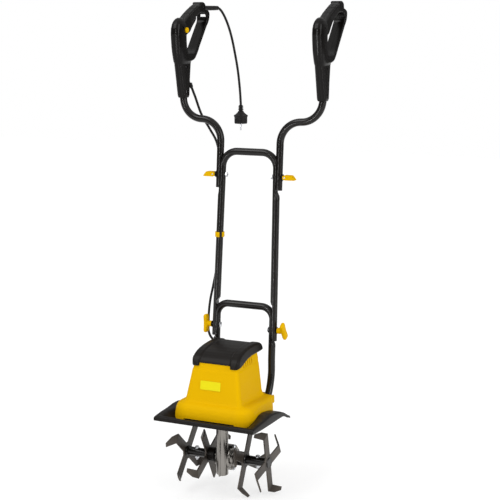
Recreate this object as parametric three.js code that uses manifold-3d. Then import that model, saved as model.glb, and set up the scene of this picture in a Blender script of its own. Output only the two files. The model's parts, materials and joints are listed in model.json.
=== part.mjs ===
// A small electric garden tiller, standing upright on its four tine wheels.
//
// Millimetres, +Z up, +Y to the rear, where the operator stands. Left and right are as seen from
// the front: left is -X. The parts are drawn with the axle above the origin, and the whole machine
// is then moved forward by ORIGIN_BACK, so that the origin is the middle of its footprint.

import * as THREE from 'three';
import { mergeVertices } from 'three/addons/utils/BufferGeometryUtils.js';
import Module from 'manifold-3d';

const wasm = await Module();
wasm.setup();

// ---------------------------------------------------------------- driving dimensions

const GAP = 0.3; // running and assembly clearance between neighbouring solids
const ORIGIN_BACK = 71.5; // from the axle back to the middle of the footprint

// tine rotor
const TINE_RADIUS = 100;
const AXLE_Z = TINE_RADIUS;
const AXLE_RADIUS = 8;
const INNER_TINE_X = 55;
const OUTER_TINE_X = 122;
const TINE_WIDTH = 22;
const TINE_THICK = 4;
const TINE_ARM = 78.6; // length of a blade's flat arm, from the axle to the fold
const TINE_TIP = 38; // length of a blade's folded tip
const FIRST_BLADE = { left: [41, -28.6], right: [-12, 26.6] }; // degrees, outer and inner wheel

// Each wheel's four blades, outer wheel and then inner: the side along X that the tip is folded to, and
// 1 where the blade is then turned half round on its own length.
const BLADES = {
  left: [[[1, 1], [1, 0], [-1, 1], [-1, 0]], [[1, 0], [-1, 1], [-1, 0], [1, 1]]],
  right: [[[-1, 0], [-1, 0], [1, 0], [1, 0]], [[1, 0], [1, 0], [1, 0], [1, 0]]],
};
const HUB_RADIUS = 12;
const HUB_BOLT_X = 92;

// gearbox and motor, on one vertical line in front of the axle
const MOTOR_Y = -30;
const COLUMN_RADIUS = 16.5;
const COLUMN_BOTTOM = 58;
const COLUMN_TOP = 260;
const BASE_PLATE_Z = 249;
const BASE_PLATE_THICK = 5;
const BOSS_RADIUS = 35;
const BOSS_HALF = 27;
const WHEEL_RADIUS = 22.5;
const WHEEL_TEETH = 28;
const STATOR_RADIUS = 40;
const ARMATURE_RADIUS = 25;

// motor housing, top cover and guard
const HOUSING_WALL = 3;
const TOWER_HALF = 66;
const GUARD_HALF = 146;
const GUARD_THICK = 3;

// handle frame
const TUBE_RADIUS = 10;
const LEAN = 0.0735; // rearward run per unit of height
const LOWER_JOINT_Z = 438;
const UPPER_JOINT_Z = 855;
const LOWER_CROSSBAR_Z = 500;
const MIDDLE_CROSSBAR_Z = 919.5;
const LOWER_LEG_X = 84.5;
const MIDDLE_LEG_X = 88;
const MIDDLE_TOP_X = 80.5;
const UPPER_TUBE_X = 89;
const HANDLE_X = 208;
const JOINT_FACE_LOW = 85; // X of the pressed faces that meet at the lower joint
const JOINT_FACE_HIGH = 83;
const S_BEND = (HANDLE_X - UPPER_TUBE_X) / 2;
const S_BEND_Z = 945;
const TUBE_TOP_Z = 1150;

// cables
const LEAD_RADIUS = 3.5;
const SUPPLY_RADIUS = 3.4;

// the frame's plane: rearward place of a tube at height z
const leanY = z => 111 + (z - 435) * LEAN;

// ---------------------------------------------------------------- materials

const finish = (color, roughness, metalness) =>
  new THREE.MeshStandardMaterial({ color, roughness, metalness });
const YELLOW = finish(0xf2b705, 0.45, 0);
const BLACK = finish(0x1b1a1a, 0.5, 0);
const GLOSS_BLACK = finish(0x141416, 0.25, 0);
const TUBE_PAINT = finish(0x17171a, 0.3, 0.3);
const TINE_PAINT = finish(0x35302c, 0.45, 0.5);
const CAST_ALLOY = finish(0x9a9790, 0.4, 0.8);
const ZINC = finish(0xb9bcc0, 0.3, 0.9);
const STEEL = finish(0x8d9095, 0.3, 0.9);
const COPPER = finish(0xb06a3a, 0.4, 0.8);
const RUBBER = finish(0x1a1a1a, 0.8, 0);
const GRAPHITE = finish(0x2c2c2e, 0.6, 0.2);
const BRONZE = finish(0xa9803c, 0.4, 0.8);

// ---------------------------------------------------------------- shape helpers

const v3 = (x, y, z) => new THREE.Vector3(x, y, z);
const v2 = (x, y) => new THREE.Vector2(x, y);
const degrees = angle => angle * Math.PI / 180;

// A closed three.js geometry as a manifold solid, its faces turned outward.
function solid(geometry) {
  const bare = geometry.clone();
  bare.deleteAttribute('normal');
  bare.deleteAttribute('uv');
  const merged = mergeVertices(bare, 1e-3);
  const points = merged.attributes.position.array;
  const corners = merged.index.array;
  const faces = [];
  let volume = 0;
  for (let i = 0; i < corners.length; i += 3) {
    const [a, b, c] = [corners[i], corners[i + 1], corners[i + 2]];
    if (a === b || b === c || c === a) continue;
    faces.push(a, b, c);
    const [p, q, r] = [a, b, c].map(k => v3(points[3 * k], points[3 * k + 1], points[3 * k + 2]));
    volume += p.dot(q.cross(r));
  }
  if (volume < 0) faces.reverse();
  const triVerts = Uint32Array.from(faces);
  return new wasm.Manifold(new wasm.Mesh({ numProp: 3, vertProperties: points, triVerts }));
}

function toGeometry(body) {
  const mesh = body.getMesh();
  const geometry = new THREE.BufferGeometry();
  geometry.setAttribute('position', new THREE.BufferAttribute(mesh.vertProperties, 3));
  geometry.setIndex(new THREE.BufferAttribute(mesh.triVerts, 1));
  geometry.computeVertexNormals();
  return geometry;
}

function addPart(group, name, body, material) {
  const mesh = new THREE.Mesh(toGeometry(body), material.clone());
  mesh.name = name;
  group.add(mesh);
  return mesh;
}

const join = (...bodies) => bodies.reduce((sum, body) => sum.add(body));
const cut = (body, ...tools) => tools.reduce((rest, tool) => rest.subtract(tool), body);

function box(x0, x1, y0, y1, z0, z1) {
  const geometry = new THREE.BoxGeometry(x1 - x0, y1 - y0, z1 - z0);
  return solid(geometry.translate((x0 + x1) / 2, (y0 + y1) / 2, (z0 + z1) / 2));
}

// A cylinder along an axis, from one coordinate to another, centred on the two other coordinates,
// which are given in the order x, y, z.
function rod(axis, radius, from, to, first, second, sides = 24) {
  const geometry = new THREE.CylinderGeometry(radius, radius, to - from, sides);
  const middle = (from + to) / 2;
  if (axis === 'x') geometry.rotateZ(-Math.PI / 2).translate(middle, first, second);
  if (axis === 'y') geometry.translate(first, middle, second);
  if (axis === 'z') geometry.rotateX(Math.PI / 2).translate(first, second, middle);
  return solid(geometry);
}

function ring(axis, outer, inner, from, to, first, second, sides = 24) {
  const bore = rod(axis, inner, from - 1, to + 1, first, second, sides);
  return cut(rod(axis, outer, from, to, first, second, sides), bore);
}

// A turned piece: [radius, height] pairs up the Z axis.
function turned(profile, sides = 20) {
  const geometry = new THREE.LatheGeometry(profile.map(([r, z]) => v2(r, z)), sides);
  return solid(geometry.rotateX(Math.PI / 2));
}

// An outline of [y, z] points extruded along X, with rounded edges when bevel is given.
function plateX(outline, x0, x1, bevel = 0, bevelSegments = 2) {
  const geometry = new THREE.ExtrudeGeometry(new THREE.Shape(outline.map(([y, z]) => v2(y, z))), {
    depth: x1 - x0 - 2 * bevel, steps: 1, bevelEnabled: bevel > 0,
    bevelSize: bevel, bevelThickness: bevel, bevelOffset: -bevel, bevelSegments,
  });
  geometry.translate(0, 0, x0 + bevel);
  geometry.applyMatrix4(new THREE.Matrix4().makeBasis(v3(0, 1, 0), v3(0, 0, 1), v3(1, 0, 0)));
  return solid(geometry);
}

// An outline of [x, y] points extruded along Z.
function plateZ(outline, z0, z1) {
  const shape = new THREE.Shape(outline.map(([x, y]) => v2(x, y)));
  const geometry = new THREE.ExtrudeGeometry(shape, { depth: z1 - z0, bevelEnabled: false });
  return solid(geometry.translate(0, 0, z0));
}

// A stack of similar outlines: each layer is [z, front, rear, halfWidth, centreX, taper], where
// taper is the share of the half-width lost from the front to the rear.
function stacked(unitOutline, layers) {
  const steps = layers.length - 1;
  const shape = new THREE.Shape(unitOutline);
  const geometry = new THREE.ExtrudeGeometry(shape, { depth: steps, steps, bevelEnabled: false });
  const place = geometry.attributes.position;
  for (let i = 0; i < place.count; i++) {
    const [z, front, rear, half, centre = 0, taper = 0] = layers[Math.round(place.getZ(i))];
    const x = centre + half * place.getX(i) * (1 - taper * (place.getY(i) + 1) / 2);
    const y = (front + rear) / 2 + (rear - front) / 2 * place.getY(i);
    place.setXYZ(i, x, y, z);
  }
  return solid(geometry);
}

// A square of half-width 1 with rounded corners, and a circle of radius 1.
function unitSquare(corner, perCorner) {
  const outline = [];
  for (const [sx, sy, start] of [[1, 1, 0], [-1, 1, 90], [-1, -1, 180], [1, -1, 270]]) {
    for (let k = 0; k <= perCorner; k++) {
      const angle = degrees(start + 90 * k / perCorner);
      const x = sx * (1 - corner) + corner * Math.cos(angle);
      outline.push(v2(x, sy * (1 - corner) + corner * Math.sin(angle)));
    }
  }
  return outline;
}

function circleOutline(radius, sides) {
  const turn = 2 * Math.PI / sides;
  const corner = k => v2(radius * Math.cos(k * turn), radius * Math.sin(k * turn));
  return Array.from({ length: sides }, (_, k) => corner(k));
}

// The centre line of a bent tube, as stations at the ends of its straights and along its bends.
class BentLine extends THREE.Curve {
  constructor(corners, bendRadius, stepAngle = 18) {
    super();
    this.stations = [{ point: corners[0], tangent: corners[1].clone().sub(corners[0]).normalize() }];
    for (let i = 1; i < corners.length - 1; i++) {
      const before = corners[i].clone().sub(corners[i - 1]).normalize();
      const after = corners[i + 1].clone().sub(corners[i]).normalize();
      this.addBend(corners[i], before, after, bendRadius, stepAngle);
    }
    const [last, end] = corners.slice(-2);
    this.stations.push({ point: end, tangent: end.clone().sub(last).normalize() });
  }

  addBend(corner, before, after, radius, stepAngle) {
    const angle = before.angleTo(after);
    if (angle < 0.02) {
      this.stations.push({ point: corner, tangent: before.clone().add(after).normalize() });
      return;
    }
    const start = corner.clone().addScaledVector(before, -radius * Math.tan(angle / 2));
    const inward = after.clone().addScaledVector(before, -after.dot(before)).normalize();
    const steps = Math.max(2, Math.ceil(angle / degrees(stepAngle)));
    for (let k = 0; k <= steps; k++) {
      const turn = angle * k / steps;
      const point = start.clone().addScaledVector(before, radius * Math.sin(turn));
      point.addScaledVector(inward, radius * (1 - Math.cos(turn)));
      const tangent = before.clone().multiplyScalar(Math.cos(turn));
      tangent.addScaledVector(inward, Math.sin(turn));
      this.stations.push({ point, tangent });
    }
  }

  at(t, field) {
    const place = t * (this.stations.length - 1);
    const low = Math.min(Math.floor(place), this.stations.length - 2);
    return this.stations[low][field].clone().lerp(this.stations[low + 1][field], place - low);
  }

  getPoint(t) {
    return this.at(t, 'point');
  }

  getPointAt(t) {
    return this.at(t, 'point');
  }

  getTangentAt(t) {
    return this.at(t, 'tangent').normalize();
  }
}

function tubeAlong(curve, radius, steps, sides) {
  const shape = new THREE.Shape(circleOutline(radius, sides));
  return new THREE.ExtrudeGeometry(shape, { steps, bevelEnabled: false, extrudePath: curve });
}

const bentTube = (line, sides = 10) => tubeAlong(line, TUBE_RADIUS, line.stations.length - 1, sides);

// Presses a tube flat between two heights. side 1 keeps what lies outside the face's distance from
// the middle plane, side -1 what lies inside it, and the face runs out over a short ramp.
function pressFlat(geometry, side, face, zLow, zHigh) {
  const ramp = 0.4;
  const place = geometry.attributes.position;
  for (let i = 0; i < place.count; i++) {
    const x = place.getX(i);
    const z = place.getZ(i);
    const beyond = Math.max(zLow - z, z - zHigh, 0);
    const limit = face - side * beyond * ramp;
    if (side * (Math.abs(x) - limit) < 0) place.setX(i, Math.sign(x) * limit);
  }
  return geometry;
}

// A free cable through points set by hand.
function cable(points, radius, steps, sides = 8) {
  const curve = new THREE.CatmullRomCurve3(points.map(p => v3(...p)), false, 'centripetal');
  return solid(tubeAlong(curve, radius, steps, sides));
}

// ---------------------------------------------------------------- groups, one to a body

const machine = new THREE.Group();
machine.position.y = -ORIGIN_BACK;
const chassis = new THREE.Group();
const tineRotor = new THREE.Group();
tineRotor.position.z = AXLE_Z;
const motorRotor = new THREE.Group();
motorRotor.position.y = MOTOR_Y;
const middleFrame = new THREE.Group();
const leftHandle = new THREE.Group();
const rightHandle = new THREE.Group();
machine.add(chassis, tineRotor, motorRotor, middleFrame, leftHandle, rightHandle);

// ---------------------------------------------------------------- tine rotor

// One blade, up from the axle: a flat arm, and a tip folded off it across a slanting line, so that it
// leans round the way the wheel turns, out from the axle, and along X to the side given.
function blade(fold) {
  const half = TINE_WIDTH / 2;
  const arm = [[0, 9], [0, TINE_ARM - 6], [TINE_WIDTH, TINE_ARM + 6], [TINE_WIDTH, 9]];
  const flatArm = plateX(arm.map(([y, z]) => [y - half, z]), -TINE_THICK / 2, TINE_THICK / 2);
  const foldLine = v3(0, TINE_WIDTH, 12);
  const tipLine = v3(fold * 19, -28, 18).normalize();
  const normal = foldLine.clone().cross(tipLine).normalize();
  const outline = [[0, -1], [1, -1], [1, TINE_TIP * 0.55], [0.62, TINE_TIP], [0.12, TINE_TIP * 0.9]];
  const shape = new THREE.Shape(outline.map(([x, y]) => v2(x, y)));
  const geometry = new THREE.ExtrudeGeometry(shape, { depth: TINE_THICK, bevelEnabled: false });
  geometry.translate(0, 0, -TINE_THICK / 2);
  const place = new THREE.Matrix4().makeBasis(foldLine, tipLine, normal);
  place.setPosition(0, -half, TINE_ARM - 6);
  return flatArm.add(solid(geometry.applyMatrix4(place)));
}

// Four blades round a disc. first is the angle of the first blade, from upright toward the rear.
function tineWheel(x, first, blades) {
  let wheel = rod('x', 21, -TINE_THICK / 2, TINE_THICK / 2, 0, 0, 16);
  blades.forEach(([fold, turned], k) => {
    wheel = wheel.add(blade(fold).rotate([0, 0, 180 * turned]).rotate([-90 * k - first, 0, 0]));
  });
  return cut(wheel, rod('x', HUB_RADIUS + GAP, -3, 3, 0, 0, 20)).translate([x, 0, 0]);
}

function tineHub(side) {
  const [inner, outer] = [BOSS_HALF + 5, OUTER_TINE_X + 4];
  const span = (a, b) => side > 0 ? [a, b] : [-b, -a];
  const tube = rod('x', HUB_RADIUS, ...span(inner, outer), 0, 0, 20);
  const collar = rod('x', 19, ...span(inner, INNER_TINE_X - TINE_THICK / 2 - GAP), 0, 0, 8);
  const bore = rod('x', AXLE_RADIUS + GAP, ...span(inner - 1, outer + 1), 0, 0, 16);
  const boltHole = rod('z', 3 + GAP, -30, 30, side * HUB_BOLT_X, 0, 8);
  return cut(join(tube, collar), bore, boltHole);
}

// The bolt through a hub and the axle, with its nut run up against the hub from below.
function crossBolt(x) {
  const face = HUB_RADIUS + GAP;
  const head = rod('z', 6, face, face + 4.5, x, 0, 6);
  const nut = rod('z', 6, -face - 5.5, -face, x, 0, 6);
  return join(head, nut, rod('z', 3, -22, face + 1, x, 0, 8));
}

for (const [side, word] of [[-1, 'left'], [1, 'right']]) {
  const outer = tineWheel(side * OUTER_TINE_X, FIRST_BLADE[word][0], BLADES[word][0]);
  const inner = tineWheel(side * INNER_TINE_X, FIRST_BLADE[word][1], BLADES[word][1]);
  addPart(tineRotor, `${word}_outer_tines`, outer, TINE_PAINT);
  addPart(tineRotor, `${word}_inner_tines`, inner, TINE_PAINT);
  addPart(tineRotor, `${word}_tine_hub`, tineHub(side), BLACK);
  addPart(tineRotor, `${word}_hub_bolt`, crossBolt(side * HUB_BOLT_X), ZINC);
}

const axleHoles = [-1, 1].map(side => rod('z', 3 + GAP, -20, 20, side * HUB_BOLT_X, 0, 8));
addPart(tineRotor, 'axle_shaft', cut(rod('x', AXLE_RADIUS, -112, 112, 0, 0, 16), ...axleHoles), STEEL);

function wormWheel() {
  const outline = [];
  for (let k = 0; k < WHEEL_TEETH; k++) {
    for (const [share, depth] of [[0, 2.2], [0.5, 0]]) {
      const angle = 2 * Math.PI * (k + share) / WHEEL_TEETH;
      outline.push([(WHEEL_RADIUS - depth) * Math.cos(angle), (WHEEL_RADIUS - depth) * Math.sin(angle)]);
    }
  }
  return cut(plateX(outline, -7, 7), rod('x', AXLE_RADIUS + GAP, -8, 8, 0, 0));
}
addPart(tineRotor, 'worm_wheel', wormWheel(), BRONZE);

// ---------------------------------------------------------------- motor rotor

// The shaft with the worm cut as rings between its two bearings.
function motorShaft() {
  const profile = [[0, 64], [4, 64], [4, 82]];
  for (let z = 84; z < 114; z += 5) profile.push([6.6, z], [6.6, z + 1.6], [5, z + 3.2]);
  profile.push([5, 372], [0, 372]);
  return turned(profile, 12);
}
addPart(motorRotor, 'motor_shaft', motorShaft(), STEEL);
addPart(motorRotor, 'armature', ring('z', ARMATURE_RADIUS, 5 + GAP, 292, 340, 0, 0, 20), COPPER);
addPart(motorRotor, 'commutator', ring('z', 13, 5 + GAP, 343, 356, 0, 0, 16), COPPER);

function coolingFan() {
  let fan = ring('z', 12, 5 + GAP, 262, 276, 0, 0, 12).add(ring('z', 38, 5 + GAP, 262, 264, 0, 0, 20));
  for (let k = 0; k < 6; k++) fan = fan.add(box(10, 37, -0.9, 0.9, 263, 275).rotate([0, 0, 60 * k]));
  return fan;
}
addPart(motorRotor, 'cooling_fan', coolingFan(), GRAPHITE);

// ---------------------------------------------------------------- gearbox

function gearboxCase() {
  const column = rod('z', COLUMN_RADIUS, COLUMN_BOTTOM, COLUMN_TOP, 0, MOTOR_Y, 20);
  const boss = rod('x', BOSS_RADIUS, -BOSS_HALF + 7, BOSS_HALF - 7, 0, AXLE_Z, 20);
  const neck = rod('x', 24, -BOSS_HALF, BOSS_HALF, 0, AXLE_Z, 20);
  const flange = box(-2.5, 2.5, MOTOR_Y - COLUMN_RADIUS - 3, MOTOR_Y + COLUMN_RADIUS + 3,
    COLUMN_BOTTOM, COLUMN_TOP);
  const cap = ring('z', 34, 10, BASE_PLATE_Z + BASE_PLATE_THICK + GAP, COLUMN_TOP, 0, MOTOR_Y, 20);
  const body = join(column, boss, neck, flange, cap);
  const worm = rod('z', 11, COLUMN_BOTTOM + 4, COLUMN_TOP + 1, 0, MOTOR_Y, 16);
  const wheel = rod('x', 27, -9, 9, 0, AXLE_Z, 20);
  const axle = rod('x', 15, -BOSS_HALF - 1, BOSS_HALF + 1, 0, AXLE_Z, 20);
  const boltHoles = boltPlaces().map(([y, z]) => rod('x', 2.5 + GAP, -50, 50, y, z, 8));
  return cut(body, worm, wheel, axle, ...boltHoles);
}

// The case bolts stand round the worm wheel's boss, clear of its bore.
function boltPlaces() {
  return [0, 90, 270].map(angle => {
    const a = degrees(angle);
    return [30.5 * Math.cos(a), AXLE_Z + 30.5 * Math.sin(a)];
  });
}

const caseBody = gearboxCase();
const leftSpace = box(-200, -GAP / 2, -200, 200, 0, 400);
const rightSpace = box(GAP / 2, 200, -200, 200, 0, 400);
addPart(chassis, 'gearbox_left_half', caseBody.intersect(leftSpace), CAST_ALLOY);
addPart(chassis, 'gearbox_right_half', caseBody.intersect(rightSpace), CAST_ALLOY);
boltPlaces().forEach(([y, z], k) => {
  const outside = BOSS_HALF - 7 + GAP;
  const head = rod('x', 5, outside, outside + 3.5, y, z, 6);
  const shank = rod('x', 2.5, -outside + 1, outside + 1, y, z, 8);
  addPart(chassis, `gearbox_bolt_${k + 1}`, join(head, shank), ZINC);
});

for (const [side, word] of [[-1, 'left'], [1, 'right']]) {
  const span = (a, b) => side > 0 ? [a, b] : [-b, -a];
  const bearing = ring('x', 15 - GAP, AXLE_RADIUS + GAP, ...span(11, 20), 0, AXLE_Z, 16);
  addPart(chassis, `${word}_axle_bearing`, bearing, STEEL);
  const seal = ring('x', 15 - GAP, AXLE_RADIUS + GAP, ...span(21, 26.5), 0, AXLE_Z, 16);
  addPart(chassis, `${word}_axle_seal`, seal, RUBBER);
}
addPart(chassis, 'lower_motor_bearing', ring('z', 11 - GAP, 5 + GAP, 224, 233, 0, MOTOR_Y, 16), STEEL);
addPart(chassis, 'upper_motor_bearing', ring('z', 11 - GAP, 5 + GAP, 360, 369, 0, MOTOR_Y, 16), STEEL);
addPart(chassis, 'stator', cut(rod('z', STATOR_RADIUS, 290, 342, 0, MOTOR_Y, 24),
  rod('z', ARMATURE_RADIUS + 1.2, 280, 350, 0, MOTOR_Y, 24)), STEEL);

// The bracket over the motor seats the upper bearing and carries the two brushes on its arms.
function brushBracket() {
  const seat = ring('z', 15, 11, 358, 371, 0, MOTOR_Y);
  const arms = [-1, 1].map(side => {
    const [a, b] = side > 0 ? [12, 40] : [-40, -12];
    const [c, d] = side > 0 ? [13.6, 30] : [-30, -13.6];
    const brush = box(c, d, MOTOR_Y - 3, MOTOR_Y + 3, 346, 362);
    return join(box(a, b, MOTOR_Y - 8, MOTOR_Y + 8, 361, 366), brush);
  });
  return join(seat, ...arms);
}
addPart(chassis, 'brush_bracket', brushBracket(), GRAPHITE);

// ---------------------------------------------------------------- guard, housing and cover

// Height of the guard's top face along the machine: a rim in front, a dip round the housing's foot,
// an arch over the tines, and a tab behind.
const GUARD_LINE = [[-143, 236], [-137, 236], [-128, 230], [-112, 223], [-96, 223.5], [-70, 231],
  [-42, 239.5], [-14, 244], [14, 243], [38, 236], [62, 226], [80, 214], [95, 208]];
const SKIRT = [[-143, 224], [-90, 221.5], [44, 220.5], [60, 216], [80, 206], [95, 203]];

function guard() {
  const under = GUARD_LINE.map(([y, z]) => [y, z - GUARD_THICK]).reverse();
  const sheet = plateX([...GUARD_LINE, ...under], -GUARD_HALF, GUARD_HALF);
  const rim = box(-GUARD_HALF, GUARD_HALF, -146, -142.5, 224, 236);
  const skirtTop = GUARD_LINE.map(([y, z]) => [y, y < 40 ? Math.max(z, 235) : z]).reverse();
  const skirts = [-1, 1].map(side => {
    const [a, b] = side > 0 ? [GUARD_HALF - 3, GUARD_HALF] : [-GUARD_HALF, 3 - GUARD_HALF];
    return plateX([...SKIRT, ...skirtTop], a, b);
  });
  const column = rod('z', COLUMN_RADIUS + 4, 100, 400, 0, MOTOR_Y);
  const middle = box(-24, 24, MOTOR_Y, 30, 100, 400);
  return cut(join(sheet, rim, ...skirts), column, middle);
}
addPart(chassis, 'tine_guard', guard(), BLACK);

// Layers of the housing: [z, front, rear, half-width, centre, taper].
const HOUSING = [[200, -112, 104, 118, 0, 0.12], [226, -111, 104, 117.5, 0, 0.12],
  [248, -107, 103, 115, 0, 0.12], [260, -103, 102, 110, 0, 0.09], [268, -98, 101, 102, 0, 0.03],
  [274, -93, 98, 94, 0, 0], [282, -88, 70, 82], [372, -73, 66, TOWER_HALF]];

function housing() {
  const outline = unitSquare(0.25, 3);
  const inside = HOUSING.map(([z, front, rear, half, centre, taper]) => [z, front + HOUSING_WALL,
    rear - HOUSING_WALL, half - HOUSING_WALL, centre, taper]);
  inside[0][0] -= 5;
  inside[inside.length - 1][0] += 5;
  const shell = cut(stacked(outline, HOUSING), stacked(outline, inside));
  const belowGuard = [[-160, 150], ...GUARD_LINE.map(([y, z]) => [y, z + GAP]), [160, 198], [160, 150]];
  const recess = box(-74, 74, -130, -100, 150, 231);
  let rest = cut(shell, plateX(belowGuard, -200, 200), recess);
  for (const side of [-1, 1]) {
    rest = rest.subtract(rod('z', TUBE_RADIUS + 2, 240, 300, side * 85, 91, 12));
    for (let k = 0; k < 4; k++) {
      const y = -6 + 13 * k;
      rest = rest.subtract(box(side * 90 - 40, side * 90 + 40, y, y + 4, 342, 364));
    }
  }
  return cut(rest, rod('y', SUPPLY_RADIUS + 1, 40, 90, -45, 352, 12));
}
addPart(chassis, 'motor_housing', housing(), YELLOW);

// The cover's side view, top line then lower edge, and the same inset by the wall.
const COVER_TOP = [[-79, 368], [-76, 382], [-65, 396], [-46, 406], [-20, 412], [20, 415], [60, 414],
  [80, 409], [87, 400], [88, 386]];

function topCover() {
  const outline = [...COVER_TOP, [68, 376], [40, 376], [-50, 376], [-56, 368]];
  const outer = plateX(outline, -TOWER_HALF - 4, TOWER_HALF + 4, 5, 2);
  const hollow = plateX([[-76.5, 360], [-73.6, 376], [-71.5, 384], [-62, 394], [-44, 402.5],
    [-20, 408.5], [20, 411.5], [60, 410.5], [69, 405], [70, 360]], -TOWER_HALF - 1, TOWER_HALF + 1);
  const panel = COVER_TOP.map(([y, z]) => [y, z - 2]);
  const above = plateX([[-90, 378], ...panel.slice(1, 8), [84, 430], [-90, 430]], -44, 44);
  const frontNotch = box(-46, 46, -90, -60, 350, 377);
  const corners = [-1, 1].map(side => {
    const wedge = [[side * 58, -90], [side * 80, -90], [side * 80, -64]];
    return plateZ(side > 0 ? wedge : wedge.reverse(), 340, 440);
  });
  return cut(outer, hollow, above, frontNotch, ...corners);
}
addPart(chassis, 'top_cover', topCover(), BLACK);

const label = box(-31, 31, -1, 1, -12.5, 12.5).rotate([-9.5, 0, 0]).translate([-8, -83.1, 319]);
addPart(chassis, 'front_label_plate', label, YELLOW);

// The plate that carries the motor and closes the housing above the gearbox.
function basePlate() {
  const top = BASE_PLATE_Z + BASE_PLATE_THICK;
  const layers = [BASE_PLATE_Z, top].map(z => [z, -96, 94, 100, 0, 0.06]);
  const plate = stacked(unitSquare(0.2, 3), layers);
  const opening = rod('z', COLUMN_RADIUS + 6, 200, 300, 0, MOTOR_Y);
  const tubes = [-1, 1].map(side => rod('z', TUBE_RADIUS + 3, 200, 300, side * 85, 84, 12));
  return cut(plate, opening, ...tubes);
}
addPart(chassis, 'motor_base_plate', basePlate(), GRAPHITE);

// ---------------------------------------------------------------- handle frame tubes

function lowerFrame() {
  const [z, y] = [LOWER_CROSSBAR_Z, leanY(LOWER_CROSSBAR_Z)];
  const leg = side => [v3(side * 83.5, 81, 256.5), v3(side * 85.5, 112, 314), v3(side * 85, leanY(367), 367),
    v3(side * LOWER_LEG_X, leanY(395), 395)];
  const corners = [...leg(-1), v3(-LOWER_LEG_X, y, z), v3(LOWER_LEG_X, y, z), ...leg(1).reverse()];
  return pressFlat(bentTube(new BentLine(corners, 34)), -1, JOINT_FACE_LOW - GAP, 395, 520);
}

function middleTube() {
  const [z, y] = [MIDDLE_CROSSBAR_Z, leanY(MIDDLE_CROSSBAR_Z)];
  const legX = h => MIDDLE_LEG_X + (MIDDLE_TOP_X - MIDDLE_LEG_X) * (h - 408) / (z - 408);
  const leg = side => [408, 520, 545, 765, 790].map(h => v3(side * legX(h), leanY(h), h));
  const corners = [...leg(-1), v3(-MIDDLE_TOP_X, y, z), v3(MIDDLE_TOP_X, y, z), ...leg(1).reverse()];
  const tube = pressFlat(bentTube(new BentLine(corners, 43)), 1, JOINT_FACE_LOW + GAP, 400, 520);
  return pressFlat(tube, -1, JOINT_FACE_HIGH - GAP, 790, 940);
}

function upperTube(side) {
  const corners = [818.6, 900, 915].map(h => v3(side * UPPER_TUBE_X, leanY(h), h));
  const turn = S_BEND_Z + S_BEND;
  corners.push(v3(side * UPPER_TUBE_X, leanY(turn), turn), v3(side * HANDLE_X, leanY(turn), turn),
    v3(side * HANDLE_X, leanY(TUBE_TOP_Z), TUBE_TOP_Z));
  return pressFlat(bentTube(new BentLine(corners, S_BEND - 0.05)), 1, JOINT_FACE_HIGH + GAP, 800, 915);
}

const lowerPivotY = leanY(LOWER_JOINT_Z);
const upperPivotY = leanY(UPPER_JOINT_Z);
const lowerHole = rod('x', 4 + GAP, -130, 130, lowerPivotY, LOWER_JOINT_Z, 16);
const upperHole = rod('x', 3 + GAP, -130, 130, upperPivotY, UPPER_JOINT_Z, 16);
addPart(chassis, 'lower_frame', cut(solid(lowerFrame()), lowerHole), TUBE_PAINT);
addPart(middleFrame, 'middle_frame', cut(solid(middleTube()), lowerHole, upperHole), TUBE_PAINT);

for (const [side, word, group] of [[-1, 'left', leftHandle], [1, 'right', rightHandle]]) {
  addPart(group, `${word}_upper_tube`, cut(solid(upperTube(side)), upperHole), TUBE_PAINT);
}

// ---------------------------------------------------------------- joint hardware

const KNOB_TILT = { left: 0, right: 32 }; // degrees the knobs happen to be turned at rest
const LEVER_PIVOT_X = 108;

for (const [side, word] of [[-1, 'left'], [1, 'right']]) {
  const span = (a, b) => side > 0 ? [a, b] : [-b, -a];

  // carriage bolt of the lower joint, its head inside the frame, and the T knob on its thread
  const inside = LOWER_LEG_X - TUBE_RADIUS - GAP;
  const boltHead = rod('x', 8, ...span(inside - 3, inside), lowerPivotY, LOWER_JOINT_Z, 16);
  const boltShank = rod('x', 4, ...span(inside - 1, 106), lowerPivotY, LOWER_JOINT_Z, 16);
  addPart(chassis, `${word}_knob_bolt`, join(boltHead, boltShank), ZINC);
  const stem = rod('x', 8, ...span(99, 113), 0, 0, 16);
  const wing = plateX([[-8, -26], [8, -26], [8, 26], [-8, 26]], ...span(111.5, 123.5), 3, 1);
  const knobBore = rod('x', 4 + GAP, ...span(98, 107), 0, 0, 16);
  const knob = cut(join(stem, wing), knobBore).rotate([KNOB_TILT[word], 0, 0]);
  addPart(machine, `${word}_clamp_knob`, knob.translate([0, lowerPivotY, LOWER_JOINT_Z]), YELLOW);

  // eye bolt of the upper joint, its head inside the frame, and the cam lever pinned through its eye
  const head = rod('x', 7, ...span(66, 70), upperPivotY, UPPER_JOINT_Z, 6);
  const shank = rod('x', 3, ...span(69, 104), upperPivotY, UPPER_JOINT_Z, 16);
  const leverX = side * LEVER_PIVOT_X;
  const eye = rod('y', 5.5, upperPivotY - 3, upperPivotY + 3, leverX, UPPER_JOINT_Z, 20);
  const pinHole = rod('y', 2 + GAP, upperPivotY - 9, upperPivotY + 9, leverX, UPPER_JOINT_Z, 16);
  addPart(middleFrame, `${word}_lever_bolt`, cut(join(head, shank, eye), pinHole), ZINC);

  const cam = rod('y', 7, -8, 8, leverX, 0, 20);
  const grip = box(...span(LEVER_PIVOT_X, 136), -8, 8, -6, 6);
  const slope = plateY([[side * 126, 7], [side * 140, 7], [side * 140, -9]]);
  const fork = box(...span(LEVER_PIVOT_X - 12, LEVER_PIVOT_X + 7), -3.4, 3.4, -9, 9);
  const pin = rod('y', 2, -7.5, 7.5, leverX, 0, 16);
  const lever = join(cut(join(cam, grip), fork, slope), pin);
  addPart(machine, `${word}_cam_lever`, lever.translate([0, upperPivotY, UPPER_JOINT_Z]), YELLOW);
}

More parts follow.
